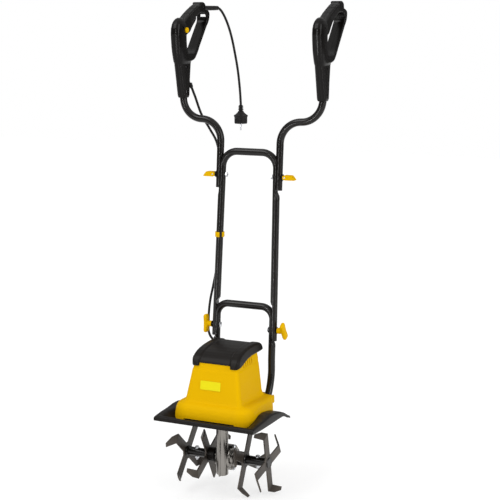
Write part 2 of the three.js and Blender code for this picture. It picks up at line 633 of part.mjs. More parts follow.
// An outline of [x, z] points extruded across the lever's width.
function plateY(outline) {
  const geometry = new THREE.ExtrudeGeometry(new THREE.Shape(outline.map(([x, z]) => v2(x, z))),
    { depth: 30, bevelEnabled: false });
  return solid(geometry.rotateX(Math.PI / 2).translate(0, 15, 0));
}

// ---------------------------------------------------------------- handles

// The pole sleeve and its rounded head: [z, front, rear, half-width].
const SLEEVE = [[1061, 143, 171, 14], [1065, 140.5, 174, 16], [1110, 129, 180, 16.5], [1158, 117, 187, 17],
  [1172, 113, 184, 17.5], [1186, 110, 168, 17.5], [1200, 108, 160, 17.5], [1236, 104, 160, 17.5],
  [1256, 107, 160, 17], [1270, 115, 158, 14], [1279, 128, 152, 7]];

const GRIP = [[134, 1246], [137, 1272], [154, 1281], [178, 1294], [224, 1314], [252, 1321], [277, 1320],
  [286, 1314], [286, 1298], [258, 1295], [232, 1289], [205, 1276], [180, 1254], [165, 1236], [150, 1230]];

const GUARD_BAR = [[150, 1160], [186, 1163], [200, 1168], [283, 1270], [289, 1288], [284, 1299], [262, 1304],
  [262, 1292], [270, 1283], [268, 1268], [208, 1194], [196, 1185], [150, 1183]];

const TRIGGER = [[180, 1238], [190, 1243], [218, 1268], [226, 1276], [222, 1284], [212, 1283], [196, 1273],
  [181, 1254]];

function handleBody(side) {
  const centre = side * HANDLE_X;
  const layers = SLEEVE.map(([z, front, rear, half]) => [z, front, rear, half, centre]);
  const sleeve = stacked(circleOutline(1, 14), layers);
  const grip = plateX(GRIP, centre - 16.5, centre + 16.5, 6, 1);
  const bar = plateX(GUARD_BAR, centre - 17, centre + 17);
  const tube = rod('z', TUBE_RADIUS + 0.8, 0, 110, 0, 0, 12).rotate([-Math.atan(LEAN) * 180 / Math.PI, 0, 0]);
  const bore = tube.translate([centre, leanY(1045), 1045]);
  return cut(join(sleeve, grip, bar), bore);
}

// Cuts a handle on the plane through its tube: the half away from the machine's middle, then the
// half next to it.
function splitHandle(body, side) {
  const far = side > 0 ? [HANDLE_X + GAP / 2, 300] : [-300, -HANDLE_X - GAP / 2];
  const near = side > 0 ? [100, HANDLE_X - GAP / 2] : [-HANDLE_X + GAP / 2, -100];
  return [far, near].map(([x0, x1]) => body.intersect(box(x0, x1, 0, 400, 1000, 1400)));
}

const leftX = -HANDLE_X;
const triggerPocket = plateX([[166, 1240], [182, 1228], [234, 1272], [228, 1292], [206, 1292], [168, 1264]],
  leftX - 6.8, leftX + 6.8);
const LOCK_BUTTON = { y: 147, z: 1246, radius: 7.5 };
const buttonPocket = rod('x', LOCK_BUTTON.radius + GAP, leftX + 5, leftX + 40, LOCK_BUTTON.y,
  LOCK_BUTTON.z, 20);
const switchPocket = box(leftX - 8, leftX + 8, 118, 150, 1180, 1220);
const hookSlot = box(leftX - 9, leftX + 9, 250, 300, 1279, 1289);
const leftBody = cut(handleBody(-1), triggerPocket, buttonPocket, switchPocket, hookSlot);
const halves = { left: splitHandle(leftBody, -1), right: splitHandle(handleBody(1), 1) };
for (const [side, word, group] of [[-1, 'left', leftHandle], [1, 'right', rightHandle]]) {
  addPart(group, `${word}_handle_outer_shell`, halves[word][0], GLOSS_BLACK);
  addPart(group, `${word}_handle_inner_shell`, halves[word][1], GLOSS_BLACK);
}

addPart(leftHandle, 'power_switch', box(leftX - 7, leftX + 7, 120, 148, 1182, 1218), GRAPHITE);
addPart(machine, 'trigger', plateX(TRIGGER, leftX - 6, leftX + 6, 1.5, 1), BLACK);
addPart(machine, 'lock_off_button', rod('x', LOCK_BUTTON.radius, leftX + 11, leftX + 21, LOCK_BUTTON.y,
  LOCK_BUTTON.z, 20), YELLOW);

// ---------------------------------------------------------------- mains lead and plug

const BOOT_START = v3(leftX, 287.4, 1307);
const BOOT_END = v3(-200, 354, 1308);

function strainRelief() {
  const length = BOOT_START.distanceTo(BOOT_END);
  const boot = turned([[0, 0], [6.6, 0], [6.2, 12], [5.4, length], [0, length]], 14);
  const along = BOOT_END.clone().sub(BOOT_START).normalize();
  const turn = new THREE.Quaternion().setFromUnitVectors(v3(0, 0, 1), along);
  const geometry = toGeometry(boot).applyQuaternion(turn).translate(...BOOT_START.toArray());
  return solid(geometry);
}
addPart(leftHandle, 'lead_strain_relief', strainRelief(), RUBBER);

// The lead bends down out of the strain relief and hangs to its plug.
const LEAD = [[-199.9, 354.7, 1308], [-199.2, 360.2, 1307.4], [-196.3, 367.5, 1302.6], [-191.5, 376, 1290.5],
  [-185, 387, 1267], [-178, 400, 1229], [-172, 412, 1178], [-167.3, 421.4, 1129], [-163.6, 428.1, 1070],
  [-162, 430.7, 1027.3]];
addPart(leftHandle, 'mains_lead', cable(LEAD, LEAD_RADIUS, 24), RUBBER);

const [plugX, plugY] = [-162, 430.7];
const plug = turned([[0, 972], [18.5, 972], [18.8, 993], [20.8, 995], [20.8, 997], [13, 1003], [9.5, 1005],
  [9.5, 1008], [6, 1010], [8.5, 1013], [5.5, 1016], [9, 1022], [9, 1025], [5, 1027], [0, 1027]], 16);
const PINS = { a: [4, -8.6], b: [-4, 8.6] }; // place of each pin from the plug's middle
const pinHoles = Object.values(PINS).map(([x, y]) => rod('z', 2.4 + GAP, 962, 982, x, y, 8));
addPart(leftHandle, 'mains_plug', cut(plug, ...pinHoles).translate([plugX, plugY, 0]), RUBBER);
for (const [word, [x, y]] of Object.entries(PINS)) {
  const pin = rod('z', 2.4, 953, 981.5, plugX + x, plugY + y, 8);
  addPart(leftHandle, `plug_pin_${word}`, pin, ZINC);
}

// ---------------------------------------------------------------- supply cable down the frame

// It leaves the switch handle, crosses behind the bend, runs down behind the left tubes, through a
// clip, bows out round the clamp knob and goes into the back of the housing. It is cut at each fold,
// and left open round the upper one, where the flexible cable bends as the handle folds.
const UPPER_CABLE = [[-197, 182, 1094], [-183, 178, 1064], [-160, 171, 1016], [-131, 163, 978],
  [-109, 161, 944], [-99, 160, 905], [-98, 159, 889]];
const MIDDLE_CABLE = [[-95, 154.5, 818], [-95.5, 152, 798], [-96, 149, 776], [-94, 147, 735],
  [-91, 143.5, 690], [-92, 139, 640], [-98, 136, 590], [-107, 135, 545], [-119, 139, 500],
  [-126, 142.5, 458], [-127, 143, 446], [-127, 143, 438.4]];
const LOWER_CABLE = [[-127, 143, 437.8], [-127.5, 143, 428], [-127, 142, 412], [-121, 140, 396],
  [-108, 138, 383], [-88, 130, 373], [-66, 110, 362], [-51, 86, 354], [-45, 68, 352], [-45, 56, 352]];
addPart(leftHandle, 'upper_supply_cable', cable(UPPER_CABLE, SUPPLY_RADIUS, 15), RUBBER);
addPart(middleFrame, 'middle_supply_cable', cable(MIDDLE_CABLE, SUPPLY_RADIUS, 20), RUBBER);
addPart(chassis, 'lower_supply_cable', cable(LOWER_CABLE, SUPPLY_RADIUS, 16), RUBBER);

// A clip round the tube and the cable, open at the front of the tube.
function cableClip() {
  const [x, y, z] = [-84, leanY(690), 690];
  const round = rod('z', TUBE_RADIUS + 3, -7, 7, 0, 0, 20);
  const loop = rod('z', SUPPLY_RADIUS + 3.2, -7, 7, -7, 13.8, 16);
  const opening = box(-6, 6, -20, 0, -9, 9);
  const tubeSpace = rod('z', TUBE_RADIUS + GAP + 0.4, -9, 9, 0, 0, 20);
  const cableSpace = rod('z', SUPPLY_RADIUS + 1, -9, 9, -7, 13.8, 16);
  return cut(join(round, loop), opening, tubeSpace, cableSpace).translate([x, y, z]);
}
addPart(middleFrame, 'cable_clip', cableClip(), YELLOW);

export default machine;
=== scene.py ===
"""Visual model of a small electric garden tiller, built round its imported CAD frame.

Lengths in the tables below are in millimetres, X to the right, Y to the rear from the axle and Z up
from the ground, and at() turns them into the frame's metres.
"""
import json
import math

import bmesh
import bpy
from mathutils import Matrix, Vector


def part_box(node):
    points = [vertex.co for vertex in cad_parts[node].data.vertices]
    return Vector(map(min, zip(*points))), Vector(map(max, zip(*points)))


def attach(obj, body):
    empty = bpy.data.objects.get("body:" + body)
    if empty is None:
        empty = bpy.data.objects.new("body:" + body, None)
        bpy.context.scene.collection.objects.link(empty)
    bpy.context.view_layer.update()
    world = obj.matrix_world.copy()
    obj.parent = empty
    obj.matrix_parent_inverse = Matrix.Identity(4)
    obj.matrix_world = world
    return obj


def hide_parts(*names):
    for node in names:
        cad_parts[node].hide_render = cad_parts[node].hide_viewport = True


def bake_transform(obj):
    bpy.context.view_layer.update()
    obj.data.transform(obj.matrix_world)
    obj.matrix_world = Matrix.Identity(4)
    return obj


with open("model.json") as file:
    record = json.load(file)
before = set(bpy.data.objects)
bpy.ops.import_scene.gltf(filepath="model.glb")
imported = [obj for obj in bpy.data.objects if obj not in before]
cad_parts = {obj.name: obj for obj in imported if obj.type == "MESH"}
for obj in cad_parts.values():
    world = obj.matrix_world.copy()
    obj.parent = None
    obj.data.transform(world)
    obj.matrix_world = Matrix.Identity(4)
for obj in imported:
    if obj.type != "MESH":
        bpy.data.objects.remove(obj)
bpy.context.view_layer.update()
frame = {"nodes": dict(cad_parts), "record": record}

MM = 0.001
SIDES = {"left": -1, "right": 1}


def middle(node):
    low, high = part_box(node)
    return (low + high) / 2


AXLE = middle("axle_shaft")
MOTOR_Y = (middle("motor_shaft").y - AXLE.y) / MM


def at(x, y, z):
    return Vector((x * MM, AXLE.y + y * MM, z * MM))


def upright(y, z, x):
    """A point of a side view's outline, at a depth along X."""
    return at(x, y, z)


def set_inputs(node, values):
    for name, value in values.items():
        node.inputs[name].default_value = value


def new_object(name, data):
    thing = bpy.data.objects.new(name, data)
    bpy.context.collection.objects.link(thing)
    return thing


# ------------------------------------------------------------------ camera, floor and light

CAMERA_AZIMUTH = 25.0
CAMERA_PITCH = 9.915
CAMERA_DISTANCE = 3355.2
CAMERA_SIDE = 62.3
CAMERA_HEIGHT = 1258.2
CAMERA_LENS = 92.43
SENSOR = 36.0


def add_camera():
    azimuth, pitch = math.radians(CAMERA_AZIMUTH), math.radians(CAMERA_PITCH)
    ahead = Vector((-math.sin(azimuth), math.cos(azimuth), 0))
    right = Vector((math.cos(azimuth), math.sin(azimuth), 0))
    data = bpy.data.cameras.new("camera")
    data.lens, data.sensor_width = CAMERA_LENS, SENSOR
    data.clip_start, data.clip_end = 0.05, 60
    camera = new_object("camera", data)
    camera.location = at(0, 0, CAMERA_HEIGHT) + (right * CAMERA_SIDE - ahead * CAMERA_DISTANCE) * MM
    camera.rotation_euler = (math.pi / 2 - pitch, 0, azimuth)
    bpy.context.scene.camera = camera


def aim(light, place, target=(0, 0, 0.65)):
    light.location = place
    light.rotation_euler = (Vector(target) - Vector(place)).to_track_quat("-Z", "Y").to_euler()


def add_sun(name, place, strength, spread):
    data = bpy.data.lights.new(name, "SUN")
    data.energy, data.angle = strength, math.radians(spread)
    aim(new_object(name, data), place)


def add_strip(name, place, width, height, power):
    """A tall narrow lamp, which draws a thin bright line down the tubes."""
    data = bpy.data.lights.new(name, "AREA")
    data.shape, data.size, data.size_y, data.energy = "RECTANGLE", width, height, power
    aim(new_object(name, data), place, (0, 0, place[2]))


def add_floor():
    """A white floor that glows a little, so that it fades into the white behind it."""
    mesh = bpy.data.meshes.new("floor")
    half = 9.0
    corners = [(-half, -half, 0), (half, -half, 0), (half, half, 0), (-half, half, 0)]
    mesh.from_pydata(corners, [], [(0, 1, 2, 3)])
    floor = new_object("floor", mesh)
    paint = bpy.data.materials.new("floor")
    paint.use_nodes = True
    set_inputs(paint.node_tree.nodes["Principled BSDF"],
               {"Base Color": (0.42, 0.42, 0.42, 1), "Emission Color": (1, 1, 1, 1),
                "Emission Strength": 0.62, "Roughness": 0.85, "Specular IOR Level": 0.1})
    mesh.materials.append(paint)


def add_world():
    """White behind the object, and a soft sky that is brighter above than round the horizon."""
    world = bpy.data.worlds.new("studio")
    world.use_nodes = True
    nodes, links = world.node_tree.nodes, world.node_tree.links
    sky, backdrop = nodes["Background"], nodes.new("ShaderNodeBackground")
    for light in (backdrop, sky):
        set_inputs(light, {"Color": (1, 1, 1, 1)})
    coordinates = nodes.new("ShaderNodeTexCoord")
    split = nodes.new("ShaderNodeSeparateXYZ")
    ramp = nodes.new("ShaderNodeMapRange")
    set_inputs(ramp, {"From Min": 0.0, "From Max": 0.9, "To Min": 0.12, "To Max": 0.95})
    links.new(coordinates.outputs["Generated"], split.inputs["Vector"])
    links.new(split.outputs["Z"], ramp.inputs["Value"])
    links.new(ramp.outputs["Result"], sky.inputs["Strength"])
    path = nodes.new("ShaderNodeLightPath")
    mix = nodes.new("ShaderNodeMixShader")
    links.new(path.outputs["Is Camera Ray"], mix.inputs["Fac"])
    links.new(sky.outputs["Background"], mix.inputs[1])
    links.new(backdrop.outputs["Background"], mix.inputs[2])
    links.new(mix.outputs["Shader"], nodes["World Output"].inputs["Surface"])
    bpy.context.scene.world = world


def add_stage():
    add_floor()
    add_world()
    bpy.context.scene.view_settings.view_transform = "Standard"
    add_sun("key", (-1.6, -2.4, 3.7), 0.85, 30)
    add_sun("fill", (3.0, -0.7, 1.9), 1.05, 40)
    add_strip("front_strip", (-0.55, -3.0, 0.95), 0.09, 2.2, 26)
    add_strip("side_strip", (3.2, -0.9, 0.95), 0.14, 2.2, 12)


add_camera()
add_stage()

# ------------------------------------------------------------------ materials


def make_material(name, color, roughness, metallic=0.0, specular=0.5, grain=0.0, grain_scale=900.0,
                  tone=0.08, patch_scale=14.0, rough_spread=0.08, worn=None, stretch=(1, 1, 1)):
    """A surface with fine grain in its height, soft patches in colour and roughness, and, where worn is
    a colour, bare edges of that colour."""
    paint = bpy.data.materials.new(name)
    paint.use_nodes = True
    tree = paint.node_tree
    nodes, links = tree.nodes, tree.links
    shader = nodes["Principled BSDF"]
    set_inputs(shader, {"Metallic": metallic, "Specular IOR Level": specular})
    coordinates = nodes.new("ShaderNodeTexCoord")
    mapping = nodes.new("ShaderNodeMapping")
    set_inputs(mapping, {"Scale": stretch})
    links.new(coordinates.outputs["Object"], mapping.inputs["Vector"])

    def noise_node(scale, detail):
        node = nodes.new("ShaderNodeTexNoise")
        set_inputs(node, {"Scale": scale, "Detail": detail})
        links.new(mapping.outputs["Vector"], node.inputs["Vector"])
        return node

    patches, fine = noise_node(patch_scale, 4), noise_node(grain_scale, 3)
    mix = nodes.new("ShaderNodeMix")
    mix.data_type = "RGBA"
    set_inputs(mix, {"A": (*[c * (1 - tone) for c in color], 1),
                     "B": (*[min(1, c * (1 + tone)) for c in color], 1)})
    links.new(patches.outputs["Fac"], mix.inputs["Factor"])
    base = mix.outputs["Result"]
    if worn:
        geometry = nodes.new("ShaderNodeNewGeometry")
        ramp = nodes.new("ShaderNodeMapRange")
        set_inputs(ramp, {"From Min": 0.53, "From Max": 0.62})
        links.new(geometry.outputs["Pointiness"], ramp.inputs["Value"])
        edge = nodes.new("ShaderNodeMath")
        edge.operation = "MULTIPLY"
        links.new(ramp.outputs["Result"], edge.inputs[0])
        links.new(patches.outputs["Fac"], edge.inputs[1])
        wear = nodes.new("ShaderNodeMix")
        wear.data_type = "RGBA"
        set_inputs(wear, {"B": (*worn, 1)})
        links.new(edge.outputs["Value"], wear.inputs["Factor"])
        links.new(base, wear.inputs["A"])
        base = wear.outputs["Result"]
    links.new(base, shader.inputs["Base Color"])
    spread = nodes.new("ShaderNodeMapRange")
    set_inputs(spread, {"To Min": max(0.02, roughness - rough_spread),
                        "To Max": min(1, roughness + rough_spread)})
    links.new(patches.outputs["Fac"], spread.inputs["Value"])
    links.new(spread.outputs["Result"], shader.inputs["Roughness"])
    if grain:
        bump = nodes.new("ShaderNodeBump")
        set_inputs(bump, {"Strength": grain, "Distance": 0.0004})
        links.new(fine.outputs["Fac"], bump.inputs["Height"])
        links.new(bump.outputs["Normal"], shader.inputs["Normal"])
    return paint


LOOKS = {
    "yellow_plastic": dict(color=(0.65, 0.374, 0.0006), roughness=0.46, specular=0.02, grain=0.10,
                           tone=0.03, grain_scale=1400),
    "label_yellow": dict(color=(0.69, 0.61, 0.008), roughness=0.38, specular=0.05, tone=0.02),
    "black_plastic": dict(color=(0.0066, 0.0050, 0.0040), roughness=0.38, specular=0.14, grain=0.20,
                          tone=0.15, grain_scale=1600, rough_spread=0.05),
    "gloss_black_plastic": dict(color=(0.0042, 0.0034, 0.0031), roughness=0.20, specular=0.17, grain=0.05,
                                grain_scale=1500, tone=0.12, rough_spread=0.05),
    "tube_paint": dict(color=(0.0055, 0.0044, 0.0038), roughness=0.20, specular=0.30, grain=0.06,
                       grain_scale=700, tone=0.15, rough_spread=0.04),
    "tine_paint": dict(color=(0.031, 0.024, 0.019), roughness=0.44, metallic=0.2, specular=0.3, grain=0.25,
                       grain_scale=420, tone=0.25, patch_scale=35, worn=(0.22, 0.19, 0.16)),
    "cast_alloy": dict(color=(0.27, 0.255, 0.235), roughness=0.28, metallic=1.0, grain=0.12,
                       grain_scale=900, tone=0.15, patch_scale=30, worn=(0.62, 0.60, 0.57)),
    "zinc": dict(color=(0.58, 0.59, 0.61), roughness=0.22, metallic=1.0, grain=0.10, tone=0.10,
                 patch_scale=120, rough_spread=0.08),
    "steel": dict(color=(0.48, 0.49, 0.51), roughness=0.28, metallic=1.0, grain=0.20, tone=0.08,
                  grain_scale=500, stretch=(8, 1, 1)),
    "copper": dict(color=(0.60, 0.28, 0.14), roughness=0.35, metallic=1.0, grain=0.30, stretch=(1, 1, 6)),
    "bronze": dict(color=(0.55, 0.36, 0.13), roughness=0.35, metallic=1.0, grain=0.25),
    "rubber": dict(color=(0.0055, 0.0047, 0.0045), roughness=0.46, specular=0.22, grain=0.18, tone=0.15,
                   grain_scale=800),
    "dark_composite": dict(color=(0.012, 0.011, 0.011), roughness=0.55, grain=0.3, tone=0.15),
}
MATERIALS = {name: make_material(name, **look) for name, look in LOOKS.items()}

# ------------------------------------------------------------------ mesh helpers

SECTION_POWER = 3.0  # 2 gives a circle, and more gives a squarer section


def add_piece(name, bm, body, slot, replaced=(), paint=None, smooth=35, bevel=0):
    """Turns a bmesh into a finished piece: smooth faces, rounded edges, material, body and slot."""
    bmesh.ops.remove_doubles(bm, verts=bm.verts, dist=1e-6)
    bmesh.ops.recalc_face_normals(bm, faces=bm.faces)
    mesh = bpy.data.meshes.new(name)
    bm.to_mesh(mesh)
    bm.free()
    return finish_piece(name, mesh, body, slot, replaced, paint, smooth, bevel)


def finish_piece(name, mesh, body, slot, replaced=(), paint=None, smooth=35, bevel=0):
    piece = new_object(name, mesh)
    mesh.shade_smooth()
    mesh.set_sharp_from_angle(angle=math.radians(smooth))
    mesh.materials.clear()
    mesh.materials.append(MATERIALS[paint or slot])
    if bevel:
        modifier = piece.modifiers.new("edges", "BEVEL")
        modifier.width, modifier.segments = bevel * MM, 2
        modifier.limit_method, modifier.angle_limit = "ANGLE", math.radians(30)
        modifier.harden_normals = True
    if body:
        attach(piece, body)
    if replaced:
        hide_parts(*replaced)
    return piece


def add_loft(bm, rings):
    """Joins rings of points, each with the same number, into a closed skin."""
    rows = [[bm.verts.new(p) for p in ring] for ring in rings]
    count = len(rows[0])
    for low, high in zip(rows, rows[1:]):
        for k in range(count):
            bm.faces.new((low[k], low[(k + 1) % count], high[(k + 1) % count], high[k]))
    bm.faces.new(list(reversed(rows[0])))
    bm.faces.new(rows[-1])


def circle(centre, first, second, radius, sides):
    return [centre + first * (radius * math.cos(2 * math.pi * k / sides))
            + second * (radius * math.sin(2 * math.pi * k / sides)) for k in range(sides)]


def crossing(direction):
    """Two directions square to one, steady from one ring of a tube to the next."""
    helper = Vector((0, 0, 1)) if abs(direction.z) < 0.9 else Vector((1, 0, 0))
    first = direction.cross(helper).normalized()
    return first, direction.cross(first).normalized()


def add_tube(bm, points, radius, sides=20, round_end=True):
    """A round tube along points, its section carried along without twist."""
    tangents = []
    for k in range(len(points)):
        ahead, behind = points[min(k + 1, len(points) - 1)], points[max(k - 1, 0)]
        tangents.append((ahead - behind).normalized())
    first, _ = crossing(tangents[0])
    rings = []
    for point, tangent in zip(points, tangents):
        first = (first - tangent * first.dot(tangent)).normalized()
        rings.append(circle(point, first, tangent.cross(first), radius * MM, sides))
    if round_end:
        lip = min(0.8, radius * 0.3)
        ends = []
        for k, outward in ((0, -tangents[0]), (-1, tangents[-1])):
            end = points[k]
            ends.append([end + outward * (lip * MM * 0.4) + (p - end) * (1 - lip / radius)
                         for p in rings[k]])
        rings = [ends[0]] + rings + [ends[1]]
    add_loft(bm, rings)


def smooth_path(points, steps=8):
    """A centripetal Catmull-Rom line through points, by repeated straight-line mixing."""
    line = [points[0] * 2 - points[1]] + points + [points[-1] * 2 - points[-2]]
    path = []
    for four in zip(line, line[1:], line[2:], line[3:]):
        knots = [0.0]
        for a, b in zip(four, four[1:]):
            knots.append(knots[-1] + math.sqrt((b - a).length))
        for step in range(steps):
            t = knots[1] + (knots[2] - knots[1]) * step / steps
            level = four
            for spans in (((0, 1), (1, 2), (2, 3)), ((0, 2), (1, 3)), ((1, 2),)):
                level = [a.lerp(b, (t - knots[i]) / (knots[j] - knots[i]))
                         for a, b, (i, j) in zip(level, level[1:], spans)]
            path.append(level[0])
    path.append(points[-1])
    return path


def bent_path(corners, radius, step=6.0):
    """Straights joined by arcs of one radius, in millimetres."""
    path = [corners[0]]
    for before, corner, after in zip(corners, corners[1:], corners[2:]):
        into, out = (corner - before).normalized(), (after - corner).normalized()
        angle = into.angle(out)
        if angle < 0.02:
            path.append(corner)
            continue
        reach = radius * MM * math.tan(angle / 2)
        start = corner - into * reach
        inward = (out - into * out.dot(into)).normalized()
        steps = max(2, math.ceil(math.degrees(angle) / step))
        for k in range(steps + 1):
            turn = angle * k / steps
            path.append(start + into * (radius * MM * math.sin(turn))
                        + inward * (radius * MM * (1 - math.cos(turn))))
    path.append(corners[-1])
    return path


def resample(path, spacing):
    """Adds points to the long straights of a path, so that they can be pressed flat."""
    out = [path[0]]
    for a, b in zip(path, path[1:]):
        steps = max(1, math.ceil((b - a).length / (spacing * MM)))
        out += [a.lerp(b, k / steps) for k in range(1, steps + 1)]
    return out


def add_box(bm, low, high):
    """A box between two corners."""
    corners = [Vector((x, y, z)) for x in (low.x, high.x) for y in (low.y, high.y) for z in (low.z, high.z)]
    verts = [bm.verts.new(c) for c in corners]
    for face in ((0, 1, 3, 2), (4, 6, 7, 5), (0, 4, 5, 1), (2, 3, 7, 6), (0, 2, 6, 4), (1, 5, 7, 3)):
        bm.faces.new([verts[k] for k in face])


def add_prism(bm, outline, low, high, place):
    """An outline of pairs pushed from low to high, each point set by place(first, second, depth)."""
    add_loft(bm, [[place(a, b, depth) for a, b in outline] for depth in (low, high)])


def add_lathe(bm, profile, centre, direction, sides=32):
    """A turned piece: (radius, distance along the direction) pairs in millimetres, from end to end."""
    direction = Vector(direction)
    first, second = crossing(direction)
    rings = [circle(centre + direction * (d * MM), first, second, max(r, 0.02) * MM, sides)
             for r, d in profile]
    add_loft(bm, rings)


def add_rod(bm, radius, low, high, centre, direction, sides):
    add_lathe(bm, [(0, low), (radius, low), (radius, high), (0, high)], centre, direction, sides)


def turned_piece(name, body, slot, profile, centre, direction, sides, replaced=(), smooth=35):
    bm = bmesh.new()
    add_lathe(bm, profile, centre, direction, sides)
    return add_piece(name, bm, body, slot, replaced, smooth=smooth)


def add_hexagon(bm, centre, direction, across, height):
    """A hexagon bolt head or nut with its corners turned down at the outer end."""
    direction = Vector(direction)
    first, second = crossing(direction)
    radius = across / math.sqrt(3)
    rings = [circle(centre + direction * (d * MM), first, second, r * MM, 6)
             for d, r in ((0, radius), (height * 0.8, radius), (height, radius * 0.86))]
    add_loft(bm, rings)


def add_slabs(bm, outline, centre, layers):
    """Slabs of one side view about a middle plane, from (half its thickness, inset) pairs."""
    for half, inset in layers:
        add_prism(bm, inset_outline(outline, inset), centre - half, centre + half, upright)


def rounded_square(corner, per_corner):
    outline = []
    for sx, sy, start in ((1, 1, 0), (-1, 1, 90), (-1, -1, 180), (1, -1, 270)):
        for k in range(per_corner + 1):
            turn = math.radians(start + 90 * k / per_corner)
            outline.append((sx * (1 - corner) + corner * math.cos(turn),
                            sy * (1 - corner) + corner * math.sin(turn)))
    return outline


def remeshed(bm, voxel, smoothing, name):
    """The union of the closed skins in a bmesh, as one even mesh with its inner corners rounded."""
    mesh = bpy.data.meshes.new(name)
    bmesh.ops.recalc_face_normals(bm, faces=bm.faces)
    bm.to_mesh(mesh)
    bm.free()
    rough = new_object(name + "_rough", mesh)
    remesh = rough.modifiers.new("even", "REMESH")
    remesh.mode, remesh.voxel_size = "VOXEL", voxel * MM
    soften = rough.modifiers.new("soften", "SMOOTH")
    soften.factor, soften.iterations = 0.5, smoothing
    result = bpy.data.meshes.new_from_object(rough.evaluated_get(bpy.context.evaluated_depsgraph_get()))
    bpy.data.objects.remove(rough)
    bpy.data.meshes.remove(mesh)
    return result


def cut_away(mesh, cutters, name):
    """Cuts closed skins, held in one bmesh, out of a mesh."""
    body = new_object(name + "_body", mesh)
    tool_mesh = bpy.data.meshes.new(name + "_tool")
    bmesh.ops.recalc_face_normals(cutters, faces=cutters.faces)
    cutters.to_mesh(tool_mesh)
    cutters.free()
    tool = new_object(name + "_tool", tool_mesh)
    cut = body.modifiers.new("cut", "BOOLEAN")
    cut.operation, cut.object, cut.solver = "DIFFERENCE", tool, "EXACT"
    result = bpy.data.meshes.new_from_object(body.evaluated_get(bpy.context.evaluated_depsgraph_get()))
    for o in (body, tool):
        bpy.data.objects.remove(o)
    return result


def squared_circle(sides):
    """A unit circle pushed out toward a square, as (across, up) pairs."""
    points = []
    for k in range(sides):
        cos, sin = math.cos(2 * math.pi * k / sides), math.sin(2 * math.pi * k / sides)
        reach = (abs(cos) ** SECTION_POWER + abs(sin) ** SECTION_POWER) ** (-1 / SECTION_POWER)
        points.append((cos * reach, sin * reach))
    return points


def inset_outline(outline, inset):
    """Moves each point of a closed outline inward, square to the line through its neighbours."""
    if not inset:
        return outline
    count = len(outline)
    area = 0
    for (a, b), (c, d) in zip(outline, outline[1:] + outline[:1]):
        area += a * d - c * b
    sign = 1 if area > 0 else -1
    moved = []
    for k, (a, b) in enumerate(outline):
        before, after = outline[k - 1], outline[(k + 1) % count]
        run = Vector((after[0] - before[0], after[1] - before[1])).normalized()
        moved.append((a - sign * run.y * inset, b + sign * run.x * inset))
    return moved


def smoothstep(value):
    value = min(1.0, max(0.0, value))
    return value * value * (3 - 2 * value)


def along(table, value):
    """Straight-line value from a table of (place, value) rows."""
    if value <= table[0][0]:
        return table[0][1]
    for (a, p), (b, q) in zip(table, table[1:]):
        if value <= b:
            return p + (q - p) * (value - a) / (b - a)
    return table[-1][1]


# ------------------------------------------------------------------ mains lead and its plug

LEAD_DIAMETER = 7.0
SLEEVE_ROOT = (-208, 287.4, 1307)
LEAD = [(-199.9, 354.7, 1308), (-199.2, 360.2, 1307.4), (-196.3, 367.5, 1302.6), (-191.5, 376, 1290.5),
        (-185, 387, 1267), (-178, 400, 1229), (-172, 412, 1178), (-167.3, 421.4, 1129),
        (-163.6, 428.1, 1070), (-162, 430.7, 1027.3)]


def build_plug():
    """A round moulded earthed plug: ridged neck, gripped body, face with two pins."""
    centre = middle("mains_plug")
    foot = Vector((centre.x, centre.y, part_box("mains_plug")[0].z))
    bm = bmesh.new()
    profile = [(0, 2), (15.5, 2), (16.5, 0.2), (18.2, 0.4), (18.6, 2), (18.7, 14), (19.4, 19), (20.4, 21.5),
               (20.9, 23), (20.6, 25), (17, 27), (13.2, 30), (10.5, 33)]
    for k in range(4):
        ridge = 34.5 + 5.2 * k
        profile += [(8.6 - 0.5 * k, ridge), (8.8 - 0.5 * k, ridge + 2.2)]
        profile += [(5.6, ridge + 2.9), (5.6, ridge + 4.4)]
    profile += [(4.6, 54.9), (0, 54.9)]
    add_lathe(bm, profile, foot, (0, 0, 1), 48)
    for k in range(24):
        turn = 2 * math.pi * k / 24
        out = Vector((math.cos(turn), math.sin(turn), 0))
        side = Vector((-out.y, out.x, 0))
        ring = [[foot + out * ((18.2 + r) * MM) + side * (w * MM) + Vector((0, 0, z * MM))
                 for r, w in ((0, -0.8), (0.9, -0.5), (0.9, 0.5), (0, 0.8))] for z in (3, 18)]
        add_loft(bm, ring)
    plug = add_piece("plug_body", bm, "left_handle", "rubber", ["mains_plug"])
    bm = bmesh.new()
    for node in ("plug_pin_a", "plug_pin_b"):
        pin = middle(node)
        pin.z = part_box(node)[0].z
        add_lathe(bm, [(0, 0), (1.3, 0), (2.1, 0.9), (2.4, 2.2), (2.4, 27), (0, 27)], pin, (0, 0, 1), 24)
    pins = add_piece("plug_pins", bm, "left_handle", "zinc", ["plug_pin_a", "plug_pin_b"])
    return plug, pins


def build_lead():
    start, end = at(*SLEEVE_ROOT), at(*LEAD[0])
    axis = (end - start).normalized()
    length = (end - start).length / MM
    profile = [(0, -24), (7.4, -24), (7.6, -17), (6.8, -16), (6.8, 2.2)]
    for k in range(7):
        place = 5 + k * (length - 12) / 7
        r = 6.9 - 0.08 * k
        profile += [(r, place), (r, place + 3.6), (r - 1.3, place + 4.4), (r - 1.3, place + 6.4)]
    profile += [(6.3, length - 4), (6.1, length - 0.8), (4.0, length - 0.3), (0, length - 0.3)]
    sleeve = turned_piece("lead_sleeve", "left_handle", "rubber", profile, start, axis, 32,
                          ["lead_strain_relief"])
    route = smooth_path([at(*p) for p in LEAD], 4)
    bm = bmesh.new()
    add_tube(bm, route, LEAD_DIAMETER / 2, 20, round_end=False)
    lead = add_piece("lead", bm, "left_handle", "rubber", ["mains_lead"])
    length = sum((b - a).length for a, b in zip(route, route[1:]))
    plug, pins = build_plug()


build_lead()

# ------------------------------------------------------------------ housing, cover and label

